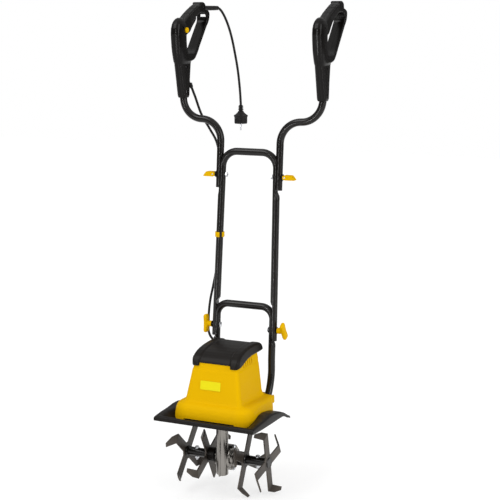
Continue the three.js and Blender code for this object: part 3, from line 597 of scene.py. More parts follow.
# Layers of the housing's skin: height, front, rear, half-width in front, share lost toward the rear and
# share of a side that each corner takes.
HOUSING = [(206, -111, 104, 119, 0.13, 0.42), (224, -111.5, 104, 120, 0.13, 0.42),
           (238, -110.5, 104, 119.5, 0.13, 0.42), (250, -108.5, 103.5, 117.5, 0.13, 0.41),
           (258, -106, 103, 114.5, 0.12, 0.39), (264, -102.5, 102, 109.5, 0.09, 0.36),
           (268, -98.5, 100.5, 103, 0.05, 0.32), (270.5, -94.5, 98, 95.5, 0.02, 0.26),
           (272, -91.6, 84, 88, 0.01, 0.18), (274.5, -90, 73, 84, 0.05, 0.15),
           (288, -87.2, 69.5, 81, 0.08, 0.14), (320, -81.4, 68, 75.4, 0.055, 0.14),
           (352, -76.2, 67, 69.6, 0.025, 0.14), (358, -75.2, 66.6, 68.6, 0.02, 0.14),
           (359.5, -74, 65.8, 67, 0.01, 0.14), (372, -72, 66, 65.4, 0.0, 0.14),
           (392, -69, 64, 62, 0.0, 0.14)]
HOUSING_TOP = [(-80, 377), (-66, 383), (-50, 391), (70, 391)]
LEG_SOCKET = [(0, 0), (17, 0), (16.6, 19), (15.2, 21.5), (0, 21.5)]
SIDE_VENTS = [-34 + 12.5 * k for k in range(5)]
SIDE_VENT_LOW, SIDE_VENT_TOP, SIDE_VENT_WIDTH = 363, 386, 3.6


def build_housing():
    bm = bmesh.new()
    rings = []
    for z, front, rear, half, taper, corner in HOUSING:
        ring = []
        for u, v in rounded_square(corner, 10):
            x = half * u * (1 - taper * (v + 1) / 2)
            y = (front + rear) / 2 + (rear - front) / 2 * v
            bow = 1.8 * (1 - u * u) if v < -0.7 else 0.0
            ring.append(at(x, y - bow, z))
        rings.append(ring)
    add_loft(bm, rings)
    for side in (-1, 1):
        add_lathe(bm, LEG_SOCKET, at(side * 85, 84, 246), (0, 0, 1), 32)
    mesh = remeshed(bm, 1.6, 3, "housing")
    for vertex in mesh.vertices:
        x, y = vertex.co.x / MM, (vertex.co.y - AXLE.y) / MM
        z = vertex.co.z / MM
        z -= 6 * smoothstep((y + 40) / 100) * smoothstep((z - 230) / 25) * smoothstep((300 - z) / 20)
        foot, top = guard_height(x, y) - 1.5, along(HOUSING_TOP, y)
        if z < foot:
            z = foot - 0.03 * (foot - z)
        if z > top:
            z = top + 0.03 * (z - top)
        vertex.co.z = z * MM
    cutters = bmesh.new()
    add_box(cutters, at(-74, -130, 190), at(74, -103, 230.5))
    for side in (-1, 1):
        for y in SIDE_VENTS:
            add_box(cutters, at(side * 80 - 18, y, SIDE_VENT_LOW),
                    at(side * 80 + 18, y + SIDE_VENT_WIDTH, SIDE_VENT_TOP))
        add_tube(cutters, [at(side * 84.5, 87, 250), at(side * 85.5, 112, 300)], 10.6, 24, round_end=False)
    for k in range(7):
        add_box(cutters, at(-33 + 10 * k, 60, 300), at(-28.5 + 10 * k, 72, 344))
    mesh = cut_away(mesh, cutters, "housing")
    finish_piece("housing", mesh, "chassis", "yellow_plastic", ["motor_housing"], smooth=40)
    # Dark sheets just behind the front slot, the side vents and the rear slats: painted shade standing in
    # for the dark, shaded inside of the housing, where no motor is modelled.
    inside = bmesh.new()
    add_box(inside, at(-73.5, -104.5, 212), at(73.5, -100, 231))
    for side in (-1, 1):
        add_box(inside, at(side * 60 - 1.5, -38, 358), at(side * 60 + 1.5, 24, 388))
    add_box(inside, at(-38, 61, 296), at(38, 63, 348))
    add_piece("housing_shade_backing", inside, "chassis", "dark_composite", smooth=30)


def build_housing_screws():
    bm = bmesh.new()
    for x, y in ((-92, 90), (92, 90), (-60, 96), (60, 96)):
        add_lathe(bm, [(0, -2), (4.2, -2), (4.4, 1.2), (3.4, 2.2), (1.6, 2.4), (1.4, 0.9), (0, 0.9)],
                  at(x * 0.94, y, 264), (0, 0, 1), 20)
    add_piece("housing_screws", bm, "chassis", "zinc")


# Side views of the cover, as (y, z): its top from front to rear, and its lower edge.
COVER_PROFILE = [(-78.5, 372), (-76.5, 379), (-73, 386), (-67.5, 393), (-59, 399.5), (-48, 405), (-34, 409),
                 (-14, 412.4), (10, 414.4), (36, 415), (56, 413.8), (70, 411.4), (79, 408), (85, 403),
                 (88, 396.5), (88, 390), (84, 386)]
COVER_EDGE = [(-78, 368), (-62, 367.5), (-50, 369), (-38, 373), (-26, 377.5), (-10, 382), (17, 385.5),
              (84, 386)]


def build_cover():
    """A hood with raised side bands, a sunk middle panel and side edges that sweep up to the rear."""
    bm = bmesh.new()
    band = COVER_PROFILE + COVER_EDGE[-2::-1]
    for side in (-1, 1):
        for half, inset in ((70, 4.6), (68.4, 1.7), (65.5, 0.0)):
            add_prism(bm, inset_outline(band, inset), *sorted((side * 46, side * half)), upright)
    sunk = [(y + (1.6 if y < -60 else 0), z - 2.6) for y, z in COVER_PROFILE if z > 375]
    add_prism(bm, [(-74.5, 376.5)] + sunk + [(60, 386), (-60, 377)], -48, 48, upright)
    cutters = bmesh.new()
    half, front, corner = 70, -78.5, 16
    for side in (-1, 1):
        turns = [math.radians(90 * k / 8) for k in range(9)]
        arc = [(side * (half - corner + corner * math.cos(t)), front + corner - corner * math.sin(t))
               for t in turns]
        outline = arc + [(side * 54, -100), (side * 100, -100), (side * 100, front + corner)]
        add_loft(cutters, [[at(x, y, z) for x, y in outline] for z in (355, 430)])
    mesh = cut_away(remeshed(bm, 1.2, 4, "cover"), cutters, "cover")
    softened = bmesh.new()
    softened.from_mesh(mesh)
    mesh = remeshed(softened, 1.2, 3, "cover_soft")
    for vertex in mesh.vertices:
        vertex.co.x *= 1 - 0.06 * smoothstep((vertex.co.z / MM - 376) / 44)
    finish_piece("cover", mesh, "chassis", "black_plastic", ["top_cover"], smooth=60)


def build_label():
    low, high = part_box("front_label_plate")
    centre = middle("front_label_plate")
    half_x, half_z = (high.x - low.x) / 2 / MM - 1.5, 12.0
    lean = math.atan2(5, 32)
    bm = bmesh.new()
    turn = Matrix.Rotation(-lean, 3, "X")
    rings = []
    for depth, inset in ((1.5, 0.0), (-0.6, 0.0), (-1.0, 0.4)):
        ring = []
        for u, v in rounded_square(0.12, 4):
            local = Vector(((half_x - inset) * u, depth, (half_z - inset) * v)) * MM
            bow = Vector((0, -1.8 * (1 - (half_x * u / 74) ** 2) + 1.2, 0)) * MM
            ring.append(centre + turn @ local + bow)
        rings.append(ring)
    add_loft(bm, rings)
    add_piece("label_plate", bm, "chassis", "yellow_plastic", ["front_label_plate"], paint="label_yellow")


# ------------------------------------------------------------------ guard over the tines

# Heights from front to rear: the tray round the housing, the arch's crest and the lower edge of the skirt.
DIP = [(-146, 223), (40, 222), (62, 216), (80, 208), (104, 202)]
CREST = [(-146, 236), (-140, 237), (-110, 240), (-70, 242), (-43, 245), (-19, 245), (10, 241), (34, 236),
         (60, 226), (88, 211), (96, 208)]
SKIRT = [(-146, 224), (-92, 221.5), (-25, 220.5), (21, 220.5), (44, 219.5), (56, 217), (80, 206), (96, 203)]
GUARD_HALF = 146.0
GUARD_FRONT = -146.0
GUARD_REAR = 95.0
# Where, out from the middle, the guard starts to rise to its arch over the tines.
RISE_START = [(-146, 104), (-104, 104), (-40, 86), (100, 84)]


def guard_height(x, y):
    """Height of the guard's skin: a tray round the housing's foot, arched at its sides."""
    rise = max(smoothstep((abs(x) - along(RISE_START, y)) / 30), smoothstep((-y - 118) / 22))
    low = min(along(DIP, y), along(CREST, y) - 3)
    top = along(CREST, y) if abs(x) > 80 else min(along(CREST, y), 236)
    height = low + (top - low) * rise
    edge = min(GUARD_HALF - abs(x), y - GUARD_FRONT)
    if edge < 5:
        height -= 5 - math.sqrt(max(0, 25 - (5 - edge) ** 2))
    return height


def build_guard():
    edge = [146, 145.6, 144.6, 143, 141, 138]
    xs = [-x for x in edge] + [-134 + 4 * k for k in range(68)] + edge[::-1]
    ys = [-x for x in edge] + [-134 + 4 * k for k in range(58)] + [GUARD_REAR]
    ys = sorted(set(y for y in ys if y <= GUARD_REAR))
    bm = bmesh.new()
    grid = [[bm.verts.new(at(x, y, guard_height(x, y))) for x in xs] for y in ys]
    for low, high in zip(grid, grid[1:]):
        for k in range(len(xs) - 1):
            bm.faces.new((low[k], low[k + 1], high[k + 1], high[k]))
    rim = [(row[0], xs[0], y) for row, y in zip(grid[::-1], ys[::-1])]
    rim += [(v, x, ys[0]) for v, x in zip(grid[0], xs)][1:]
    rim += [(row[-1], xs[-1], y) for row, y in zip(grid, ys)][1:]
    last = [v for v, _, _ in rim]
    for share in (0.5, 1.0):
        ring = []
        for v, x, y in rim:
            top = guard_height(x, y)
            bottom = min(along(SKIRT, y), top - 2)
            ring.append(bm.verts.new(at(x, y, top + (bottom - top) * share)))
        for k in range(len(ring) - 1):
            bm.faces.new((last[k + 1], last[k], ring[k], ring[k + 1]))
        last = ring
    bmesh.ops.recalc_face_normals(bm, faces=bm.faces)
    guard = add_piece("guard", bm, "chassis", "black_plastic", ["tine_guard"], smooth=50)
    thick = guard.modifiers.new("thickness", "SOLIDIFY")
    thick.thickness, thick.offset = 3 * MM, -1
    thick.use_even_offset = True
    modifier = guard.modifiers.new("edges", "BEVEL")
    modifier.width, modifier.segments = 0.8 * MM, 2
    modifier.limit_method, modifier.angle_limit = "ANGLE", math.radians(50)


build_guard()
build_housing()
build_housing_screws()
build_cover()
build_label()

# ------------------------------------------------------------------ gearbox column

COLUMN_RADIUS = 16.5
BOSS = [(0, -27), (21, -27), (24, -24), (25.5, -19), (25.5, 19), (24, 24), (21, 27), (0, 27)]
CASE_LUG = [(0, -23), (3.6, -23), (4.4, -21.5), (4.8, 21.5), (3.6, 23), (0, 23)]


def column_profile(bottom, top):
    return [(0, bottom), (COLUMN_RADIUS - 3, bottom), (COLUMN_RADIUS - 0.8, bottom + 1.2),
            (COLUMN_RADIUS, bottom + 3), (COLUMN_RADIUS, top), (0, top)]


def build_gearbox():
    bottom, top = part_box("gearbox_left_half")[0].z / MM, 246
    for word, side in SIDES.items():
        bm = bmesh.new()
        sink = 0.0 if side > 0 else 1.5
        add_lathe(bm, column_profile(bottom + sink, top), at(0, MOTOR_Y, 0), (0, 0, 1), 48)
        add_lathe(bm, [(0, -20), (33, -20), (35, -18), (35, 18), (33, 20), (0, 20)], at(0, 0, AXLE.z / MM),
                  (1, 0, 0), 56)
        add_lathe(bm, BOSS, at(0, 0, AXLE.z / MM), (1, 0, 0), 48)
        for y in (MOTOR_Y - COLUMN_RADIUS - 1.2, MOTOR_Y + COLUMN_RADIUS + 1.2):
            add_box(bm, at(-2.6, y - 1.8, bottom), at(2.6, y + 1.8, top))
        for turn in range(0, 360, 45):
            a = math.radians(turn + 22)
            spoke = at(0, 29 * math.cos(a), AXLE.z / MM + 29 * math.sin(a))
            add_lathe(bm, CASE_LUG, spoke, (1, 0, 0), 14)
        mesh = remeshed(bm, 1.0, 3, f"case_{word}")
        half = bmesh.new()
        half.from_mesh(mesh)
        bpy.data.meshes.remove(mesh)
        cut = bmesh.ops.bisect_plane(half, geom=half.verts[:] + half.edges[:] + half.faces[:],
                                     plane_co=(side * 0.25 * MM, 0, 0), plane_no=(side, 0, 0),
                                     clear_inner=True)
        rim = [e for e in cut["geom_cut"] if isinstance(e, bmesh.types.BMEdge)]
        bmesh.ops.holes_fill(half, edges=rim)
        add_piece(f"case_{word}_half", half, "chassis", "cast_alloy", [f"gearbox_{word}_half"], smooth=45)
    bm = bmesh.new()
    for k in range(1, 4):
        head = middle(f"gearbox_bolt_{k}")
        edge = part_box(f"gearbox_bolt_{k}")[1].x
        x = edge / MM - 3.5
        centre = Vector((x * MM, head.y, head.z))
        add_rod(bm, 6.4, -3, 0.4, centre, (1, 0, 0), 24)
        add_hexagon(bm, centre, (1, 0, 0), 8.6, 3.6)
        far_end = centre + Vector((-44 * MM, 0, 0))
        add_lathe(bm, [(0, -1), (3, -1), (2.6, 0), (0, 0)], far_end, (1, 0, 0), 16)
    add_piece("case_bolts", bm, "chassis", "zinc", ["gearbox_bolt_1", "gearbox_bolt_2", "gearbox_bolt_3"])


build_gearbox()

# ------------------------------------------------------------------ tine rotor

TINE_THICK = 4.0
ARM_HALF = 13.0
ARM_ROOT = 10.0
ARM_LENGTH = 78.6
FOLD_SLANT = 0.25
TIP_LENGTH = 38.0
TIP_OUTLINE = [(1, 0.55), (0.62, 1.0), (0.12, 0.9)]  # share of the fold line, share of the tip's length
# Each wheel's place along X, first angle, and for its blades the side each tip is folded to and whether
# the blade is turned half round on its own length.
WHEELS = {"left_outer_tines": (-122, 41, ((1, 1), (1, 0), (-1, 1), (-1, 0))),
          "left_inner_tines": (-55, -28.6, ((1, 0), (-1, 1), (-1, 0), (1, 1))),
          "right_outer_tines": (122, -12, ((-1, 0), (-1, 0), (1, 0), (1, 0))),
          "right_inner_tines": (55, 26.6, ((1, 0), (1, 0), (1, 0), (1, 0)))}


def add_blade(bm, x, angle, fold, turned):
    """One blade: a flat arm, and a flat tip folded off it across a slanting line."""
    turn = Matrix.Rotation(-math.radians(angle), 3, "X") @ Matrix.Rotation(math.pi * turned, 3, "Z")
    centre = Vector((x * MM, AXLE.y, AXLE.z))
    rise = ARM_HALF * FOLD_SLANT
    line = Vector((0, 2 * ARM_HALF, 2 * rise))
    tip = Vector((fold * 19, -28, 18)).normalized()
    near_fold = Vector((0, -ARM_HALF, ARM_LENGTH - rise))
    far_fold = near_fold + line
    arm_face = Vector((0, 0, 1)).cross(line).normalized()
    tip_face = tip.cross(line).normalized()
    mitre = (arm_face + tip_face) / (1 + arm_face.dot(tip_face))
    roots = [Vector((0, -ARM_HALF, ARM_ROOT)), Vector((0, ARM_HALF, ARM_ROOT))]
    points = [near_fold + line * share + tip * (TIP_LENGTH * reach) for share, reach in TIP_OUTLINE]
    edge = [(p, arm_face) for p in roots] + [(far_fold, mitre)] + [(p, tip_face) for p in points]
    edge.append((near_fold, mitre))
    layers = []
    for depth in (-TINE_THICK / 2, TINE_THICK / 2):
        layers.append([bm.verts.new(centre + turn @ ((p + face * depth) * MM)) for p, face in edge])
    for layer in layers:
        near, far = layer[-1], layer[2]
        bm.faces.new((layer[0], layer[1], far, near))
        bm.faces.new((near, far, *layer[3:-1]))
    for k in range(len(edge)):
        after = (k + 1) % len(edge)
        bm.faces.new((layers[0][k], layers[0][after], layers[1][after], layers[1][k]))


def build_tines():
    for node, (x, first, blades) in WHEELS.items():
        bm = bmesh.new()
        for k, (fold, turned) in enumerate(blades):
            add_blade(bm, x, first + 90 * k, fold, turned)
        centre = Vector((x * MM, AXLE.y, AXLE.z))
        disc = [(12.4, -2.2), (23, -2.2), (24, -1.4), (24, 1.4), (23, 2.2), (12.4, 2.2), (12.4, -2.2)]
        add_lathe(bm, disc, centre, (1, 0, 0), 40)
        add_piece(node.replace("tines", "blades"), bm, "tine_rotor", "tine_paint", [node], smooth=24,
                  bevel=0.7)


def build_hubs():
    for word, side in SIDES.items():
        low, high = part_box(f"{word}_tine_hub")
        inner, outer = sorted((abs(low.x) / MM, abs(high.x) / MM))
        root = Vector((0, AXLE.y, AXLE.z))
        bm = bmesh.new()
        add_lathe(bm, [(8.3, inner), (12, inner), (12, outer - 0.8), (11.2, outer), (8.9, outer),
                       (8.3, outer - 0.6), (8.3, inner)], root, (side, 0, 0), 40)
        for x in (55, 122):
            for face in (-1, 1):
                add_lathe(bm, [(12, x + face * 2.1), (14.6, x + face * 2.3), (13.4, x + face * 3.6),
                               (12, x + face * 4.6)], root, (side, 0, 0), 32)
        add_piece(f"{word}_hub_tube", bm, "tine_rotor", "tube_paint", [f"{word}_tine_hub"], smooth=30)
        bm = bmesh.new()
        collar = [(12.2, 0), (17.5, 0), (19.5, 1.5), (19.5, 9), (17.2, 10), (17.2, 17), (18.4, 18),
                  (18.4, 19.6), (16.5, 20.4), (12.2, 20.4), (12.2, 0)]
        add_lathe(bm, [(radius, inner + d) for radius, d in collar], root, (side, 0, 0), 40)
        for k in range(8):
            a = math.pi / 4 * k
            out = Vector((0, math.cos(a), math.sin(a)))
            along_hub = Vector((side, 0, 0))
            base = root + out * (18.2 * MM)
            tangent = out.cross(along_hub)
            rib = ((-2.2, -1), (-1.8, 1.6), (1.8, 1.6), (2.2, -1))
            rings = [[base + along_hub * (d * MM) + tangent * (w * MM) + out * (h * MM) for w, h in rib]
                     for d in (inner + 1, inner + 16)]
            add_loft(bm, rings)
        add_piece(f"{word}_hub_collar", bm, "tine_rotor", "black_plastic", smooth=35)
        bolt = middle(f"{word}_hub_bolt")
        centre = Vector((bolt.x, AXLE.y, AXLE.z))
        bm = bmesh.new()
        add_rod(bm, 6.8, 11, 12.6, centre, (0, 0, 1), 28)
        add_hexagon(bm, centre + Vector((0, 0, 12.6 * MM)), (0, 0, 1), 10, 4.2)
        add_lathe(bm, [(0, -20), (2.6, -22), (3, -21.4), (3, 12), (0, 12)], centre, (0, 0, 1), 20)
        add_rod(bm, 6.8, -12.6, -11, centre, (0, 0, 1), 28)
        add_hexagon(bm, centre + Vector((0, 0, -12.6 * MM)), (0, 0, -1), 10, 5.2)
        add_piece(f"{word}_hub_fastener", bm, "tine_rotor", "zinc", [f"{word}_hub_bolt"])


build_tines()
build_hubs()

# ------------------------------------------------------------------ frame tubes

TUBE_RADIUS = 10.0
LEAN = 0.0735
LOWER_JOINT, UPPER_JOINT = 438.0, 855.0
CROSSBARS = {"lower": 500.0, "middle": 919.5}
LOWER_LEG, MIDDLE_LEG, MIDDLE_TOP, UPPER_LEG = 84.5, 88.0, 80.5, 89.0
HANDLE_X = 208.0
BEND = (HANDLE_X - UPPER_LEG) / 2
BEND_Z = 945.0


def lean_y(z):
    return 111 + (z - 435) * LEAN


def press_flat(bm, side, face, z_low, z_high):
    """Presses tube walls flat toward the joint's face between two heights, with short ramps."""
    for v in bm.verts:
        x, z = v.co.x / MM, v.co.z / MM
        beyond = max(z_low - z, z - z_high, 0)
        limit = face - side * (beyond * 0.75 + 0.6 * smoothstep(beyond / 5))
        if side * (abs(x) - limit) < 0:
            v.co.x = math.copysign(limit, x) * MM


def add_tube_piece(name, corners, radius, body, node, press):
    bm = bmesh.new()
    path = resample(bent_path([at(*c) for c in corners], radius), 5)
    add_tube(bm, path, TUBE_RADIUS, 32)
    for side, face, low, high in press:
        press_flat(bm, side, face, low, high)
    return add_piece(name, bm, body, "tube_paint", [node], smooth=40)


def mirrored(leg):
    return [(-x, y, z) for x, y, z in leg] + [(x, y, z) for x, y, z in reversed(leg)]


def lean_in(z):
    """Half the middle hoop's width at a height: its legs draw in a little toward the crossbar."""
    return MIDDLE_LEG + (MIDDLE_TOP - MIDDLE_LEG) * (z - 408) / (CROSSBARS["middle"] - 408)


def build_frame():
    z = CROSSBARS["lower"]
    foot = smooth_path([Vector(p) for p in ((83.5, 81, 252), (84.4, 95.5, 283), (85, 104, 318),
                                            (84.8, lean_y(357), 357), (LOWER_LEG, lean_y(395), 395))], 4)
    leg = [tuple(p) for p in foot] + [(LOWER_LEG, lean_y(z), z)]
    add_tube_piece("lower_hoop", mirrored(leg), 34, "chassis", "lower_frame", [(-1, 84.7, 409, 508)])
    z = CROSSBARS["middle"]
    leg = [(lean_in(h), lean_y(h), h) for h in (409, 520, 545, 765, 790)] + [(MIDDLE_TOP, lean_y(z), z)]
    add_tube_piece("middle_hoop", mirrored(leg), 43, "middle_frame_assembly", "middle_frame",
                   [(1, 85.3, 400, 506), (-1, 82.7, 812, 930)])
    for word, side in SIDES.items():
        turn = BEND_Z + BEND
        corners = [(side * UPPER_LEG, lean_y(h), h) for h in (819.5, 900, turn)]
        corners += [(side * HANDLE_X, lean_y(h), h) for h in (turn, 1150)]
        add_tube_piece(f"{word}_bent_tube", corners, BEND - 0.05, f"{word}_handle", f"{word}_upper_tube",
                       [(1, 83.3, 800, 905)])


build_frame()

# ------------------------------------------------------------------ joint hardware


def washer_piece(name, body, centre, direction, radius, thick):
    profile = [(0, 0), (radius - 0.4, 0), (radius, 0.4), (radius, thick - 0.4), (radius - 0.4, thick),
               (0, thick)]
    turned_piece(name, body, "black_plastic", profile, centre, direction, 36)


def build_knobs():
    """T knobs on the lower joint: a round stem and a rounded wing, on a carriage bolt."""
    tilts = {"left": 0.0, "right": 32.0}
    for word, side in SIDES.items():
        pivot = at(0, lean_y(LOWER_JOINT), LOWER_JOINT)
        out = Vector((side, 0, 0))
        bm = bmesh.new()
        stem = [(0, 99.4), (7.6, 99.4), (8.2, 100.2), (8.4, 108), (7.4, 113), (0, 116)]
        add_lathe(bm, stem, pivot, out, 32)
        turn = Matrix.Rotation(math.radians(tilts[word]), 3, "X")
        rings = []
        for k in range(-12, 13):
            s = k / 12
            end = math.sqrt(max(0.0, 1 - abs(s) ** 8))
            width = (9.6 + 2.4 * abs(s) ** 1.5) * (0.35 + 0.65 * end)
            depth = (6.2 - 0.4 * abs(s)) * (0.35 + 0.65 * end)
            centre = Vector((side * (117.6 + 1.2 * s * s), 0, 26 * s))
            section = [centre + Vector((side * depth * u, width * v, 0)) for u, v in squared_circle(20)]
            rings.append([pivot + turn @ (local * MM) for local in section])
        add_loft(bm, rings)
        mesh = remeshed(bm, 0.7, 4, f"{word}_knob")
        finish_piece(f"{word}_t_knob", mesh, f"{word}_clamp_knob", "yellow_plastic",
                     [f"{word}_clamp_knob"], smooth=60)
        bm = bmesh.new()
        inside = LOWER_LEG - TUBE_RADIUS
        head = [(0, -4), (4, -3.8), (7.6, -2), (8.4, -0.3), (0, -0.3)]
        add_lathe(bm, [(radius, inside + d) for radius, d in head], pivot, out, 32)
        add_lathe(bm, [(0, inside - 1), (4, inside - 1), (4, 105), (0, 106)], pivot, out, 24)
        add_piece(f"{word}_carriage_bolt", bm, "chassis", "zinc", [f"{word}_knob_bolt"])
        washer_piece(f"{word}_knob_washer", "middle_frame_assembly", pivot + out * (98.0 * MM), out,
                     9.2, 1.4)


LEVER_PIVOT = 108.0


def build_levers():
    """Cam levers on the upper joint: a round cam on a cross pin, and a finger grip."""
    for word, side in SIDES.items():
        centre = at(side * LEVER_PIVOT, lean_y(UPPER_JOINT), UPPER_JOINT)

        def place(out, up, depth):
            return centre + Vector((side * out, depth, up)) * MM

        outline = [(0, -7), (-4.9, -4.9), (-7, 0), (-4.9, 4.9), (0, 7), (10, 7), (18.5, 6.8), (20.6, 5.8),
                   (28.8, -4.4), (28.6, -6), (27, -6.8), (10, -6.9)]
        bm = bmesh.new()
        add_prism(bm, outline, -8, 8, place)
        cutters = bmesh.new()
        add_prism(cutters, [(-12, -12), (-12, 12), (7.5, 12), (7.5, -12)], -3.3, 3.3, place)
        mesh = remeshed(bm, 0.6, 2, f"{word}_lever")
        mesh = cut_away(mesh, cutters, f"{word}_lever")
        finish_piece(f"{word}_lever", mesh, f"{word}_cam_lever", "yellow_plastic", [f"{word}_cam_lever"],
                     smooth=50)
        pin = [(0, -8.6), (2.2, -8.6), (2.4, -8.2), (2.0, -7.6), (2.0, 7.6), (2.4, 8.2), (2.2, 8.6),
               (0, 8.6)]
        turned_piece(f"{word}_lever_pin", f"{word}_cam_lever", "zinc", pin, centre, (0, 1, 0), 20)
        bm = bmesh.new()
        root = at(0, lean_y(UPPER_JOINT), UPPER_JOINT)
        out = Vector((side, 0, 0))
        add_hexagon(bm, root + out * (69.8 * MM), -out, 12, 4.4)
        add_rod(bm, 3, 64.4, 103, root, out, 24)
        eye = [(2.3, -2.9), (5.2, -2.9), (5.5, -2.5), (5.5, 2.5), (5.2, 2.9), (2.3, 2.9), (2.3, -2.9)]
        add_lathe(bm, eye, centre, (0, 1, 0), 28)
        add_piece(f"{word}_eye_bolt", bm, "middle_frame_assembly", "zinc", [f"{word}_lever_bolt"])
        washer_piece(f"{word}_lever_washer", f"{word}_handle", root + out * (99.2 * MM), out, 9.0, 1.5)


build_knobs()
build_levers()

# ------------------------------------------------------------------ handles

# The pole sleeve and its rounded head: height, front, rear, half-width.
SLEEVE = [(1061, 143, 171, 11.8), (1064, 141.4, 172.6, 13.4), (1068, 140, 174, 14.2),
          (1110, 130, 179, 14.4), (1155, 119.5, 186, 14.8), (1161, 116, 187, 16.0),
          (1168, 114, 185.5, 16.4), (1178, 111.6, 178, 16.5), (1186, 110, 169, 16.5),
          (1200, 108, 161, 16.5), (1220, 105.6, 159.4, 16.5), (1236, 104, 159.6, 16.4),
          (1250, 105.2, 160, 16.2), (1262, 109.6, 159.4, 15), (1270, 115.2, 157, 12.8),
          (1276, 122, 154, 9.4), (1279.4, 130, 149, 5)]
# Side views of the handle's other parts, as (y, z).
GRIP = [(134, 1246), (135.4, 1258), (139, 1266), (146, 1272), (154, 1277), (166, 1284.4), (178, 1291.6),
        (200, 1302.4), (224, 1313), (238, 1318), (252, 1320), (260, 1318.6), (265.4, 1314), (267.6, 1307),
        (268, 1298), (266, 1294.6), (258, 1294.6), (244, 1292.6), (232, 1289), (218, 1283.4), (205, 1276),
        (192, 1266), (180, 1254), (172, 1244), (165, 1236), (150, 1230)]
GRIP_END = [(240, 1321.4), (246, 1323.4), (256, 1323.6), (264, 1320.6), (269, 1314.6), (270, 1306),
            (270, 1294), (246, 1292)]
GUARD_BAR = [(150, 1160), (174, 1160.6), (186, 1163), (194, 1165.4), (200, 1169), (210, 1179), (283, 1270),
             (287, 1278), (289, 1288), (288, 1295), (284, 1299), (274, 1303), (262, 1304), (262, 1292),
             (267, 1288), (270, 1283), (270.4, 1275), (268, 1268), (213, 1199), (208, 1194), (202, 1189.4),
             (196, 1185.6), (188, 1183.6), (150, 1183)]
TRIGGER = [(180, 1238), (186, 1240.4), (190, 1243), (199, 1252.4), (208, 1260.4), (218, 1268), (226, 1276),
           (226, 1281), (222, 1284), (212, 1283), (203, 1279), (196, 1273), (188, 1264.6), (181, 1254)]
BAR_CHANNEL = [(219, 1195), (226, 1190.6), (280, 1258), (272, 1262)]
SWITCH_POCKET = [(166, 1240), (182, 1228), (234, 1272), (228, 1292), (206, 1292), (168, 1264)]
HOOK_SLOT = [(262, 1283), (294, 1283), (294, 1290), (262, 1290)]
SCREWS = ((152, 1078), (150, 1146), (128, 1252), (256, 1308))
RIB_START = (176, 1276)
RIB_SLOPE = math.radians(23.5)
RIB_RUN, RIB_SPACING, RIB_DEPTH = 62.0, 5.6, 1.3


def rib_depth(y, z):
    """How deep the grip's ribbing cuts in at a place on its side view."""
    run = (y - RIB_START[0]) * math.cos(RIB_SLOPE) + (z - RIB_START[1]) * math.sin(RIB_SLOPE)
    drop = abs((z - RIB_START[1]) * math.cos(RIB_SLOPE) - (y - RIB_START[0]) * math.sin(RIB_SLOPE))
    fade = smoothstep(run / 3) * smoothstep((RIB_RUN - run) / 3) * smoothstep((26 - drop) / 4)
    return RIB_DEPTH * fade * (0.5 - 0.5 * math.cos(2 * math.pi * run / RIB_SPACING)) ** 2


def handle_mesh(side):
    centre = side * HANDLE_X
    bm = bmesh.new()
    rings = []
    for z, front, rear, half in SLEEVE:
        y, deep = (front + rear) / 2, (rear - front) / 2
        rings.append([at(centre + half * u, y + deep * v, z) for u, v in squared_circle(48)])
    add_loft(bm, rings)
    add_slabs(bm, GRIP, centre, ((14.0, 3.2), (12.6, 1.2), (9.6, 0.0)))
    add_slabs(bm, GRIP_END, centre, ((14.8, 2.0), (13.0, 0.0)))
    add_slabs(bm, GUARD_BAR, centre, ((16.8, 1.6), (15.4, 0.0)))
    mesh = remeshed(bm, 1.1, 5, "handle")
    sunk = []
    for vertex in mesh.vertices:
        depth = rib_depth((vertex.co.y - AXLE.y) / MM, vertex.co.z / MM)
        sunk.append(vertex.co - vertex.normal * (depth * MM))
    for vertex, place in zip(mesh.vertices, sunk):
        vertex.co = place
    return mesh


def build_handle(word, side):
    centre = side * HANDLE_X
    mesh = handle_mesh(side)
    cutters = bmesh.new()
    for face in (-1, 1):
        add_prism(cutters, BAR_CHANNEL, *sorted((centre + face * 9, centre + face * 25)), upright)
    if side < 0:
        add_prism(cutters, SWITCH_POCKET, centre - 6.6, centre + 6.6, upright)
        add_rod(cutters, 8.4, 4, 40, at(centre, 147, 1246), (1, 0, 0), 36)
        add_prism(cutters, HOOK_SLOT, centre - 13, centre + 13, upright)
    for y, z in SCREWS:
        add_rod(cutters, 4.2, -30, -11, at(centre, y, z), (side, 0, 0), 24)
        add_rod(cutters, 2.4, 12, 30, at(centre, y, z), (side, 0, 0), 20)
    tube = [at(centre, lean_y(z), z) for z in (1050, 1160)]
    add_tube(cutters, tube, TUBE_RADIUS + 0.5, 28, False)
    mesh = cut_away(mesh, cutters, f"{word}_handle")
    for part, sign in (("outer", side), ("inner", -side)):
        other = bmesh.new()
        low, high = sorted((centre + sign * 0.18, centre - sign * 60))
        add_box(other, at(low, 60, 1000), at(high, 420, 1400))
        shell = cut_away(mesh, other, f"{word}_{part}")
        finish_piece(f"{word}_{part}_shell", shell, f"{word}_handle", "gloss_black_plastic",
                     [f"{word}_handle_{part}_shell"], smooth=42)
    bm = bmesh.new()
    for y, z in SCREWS:
        add_lathe(bm, [(0, -12.6), (2.8, -12.6), (3.7, -11.8), (3.7, -10), (0, -10)], at(centre, y, z),
                  (side, 0, 0), 20)
    add_piece(f"{word}_handle_screws", bm, f"{word}_handle", "steel")


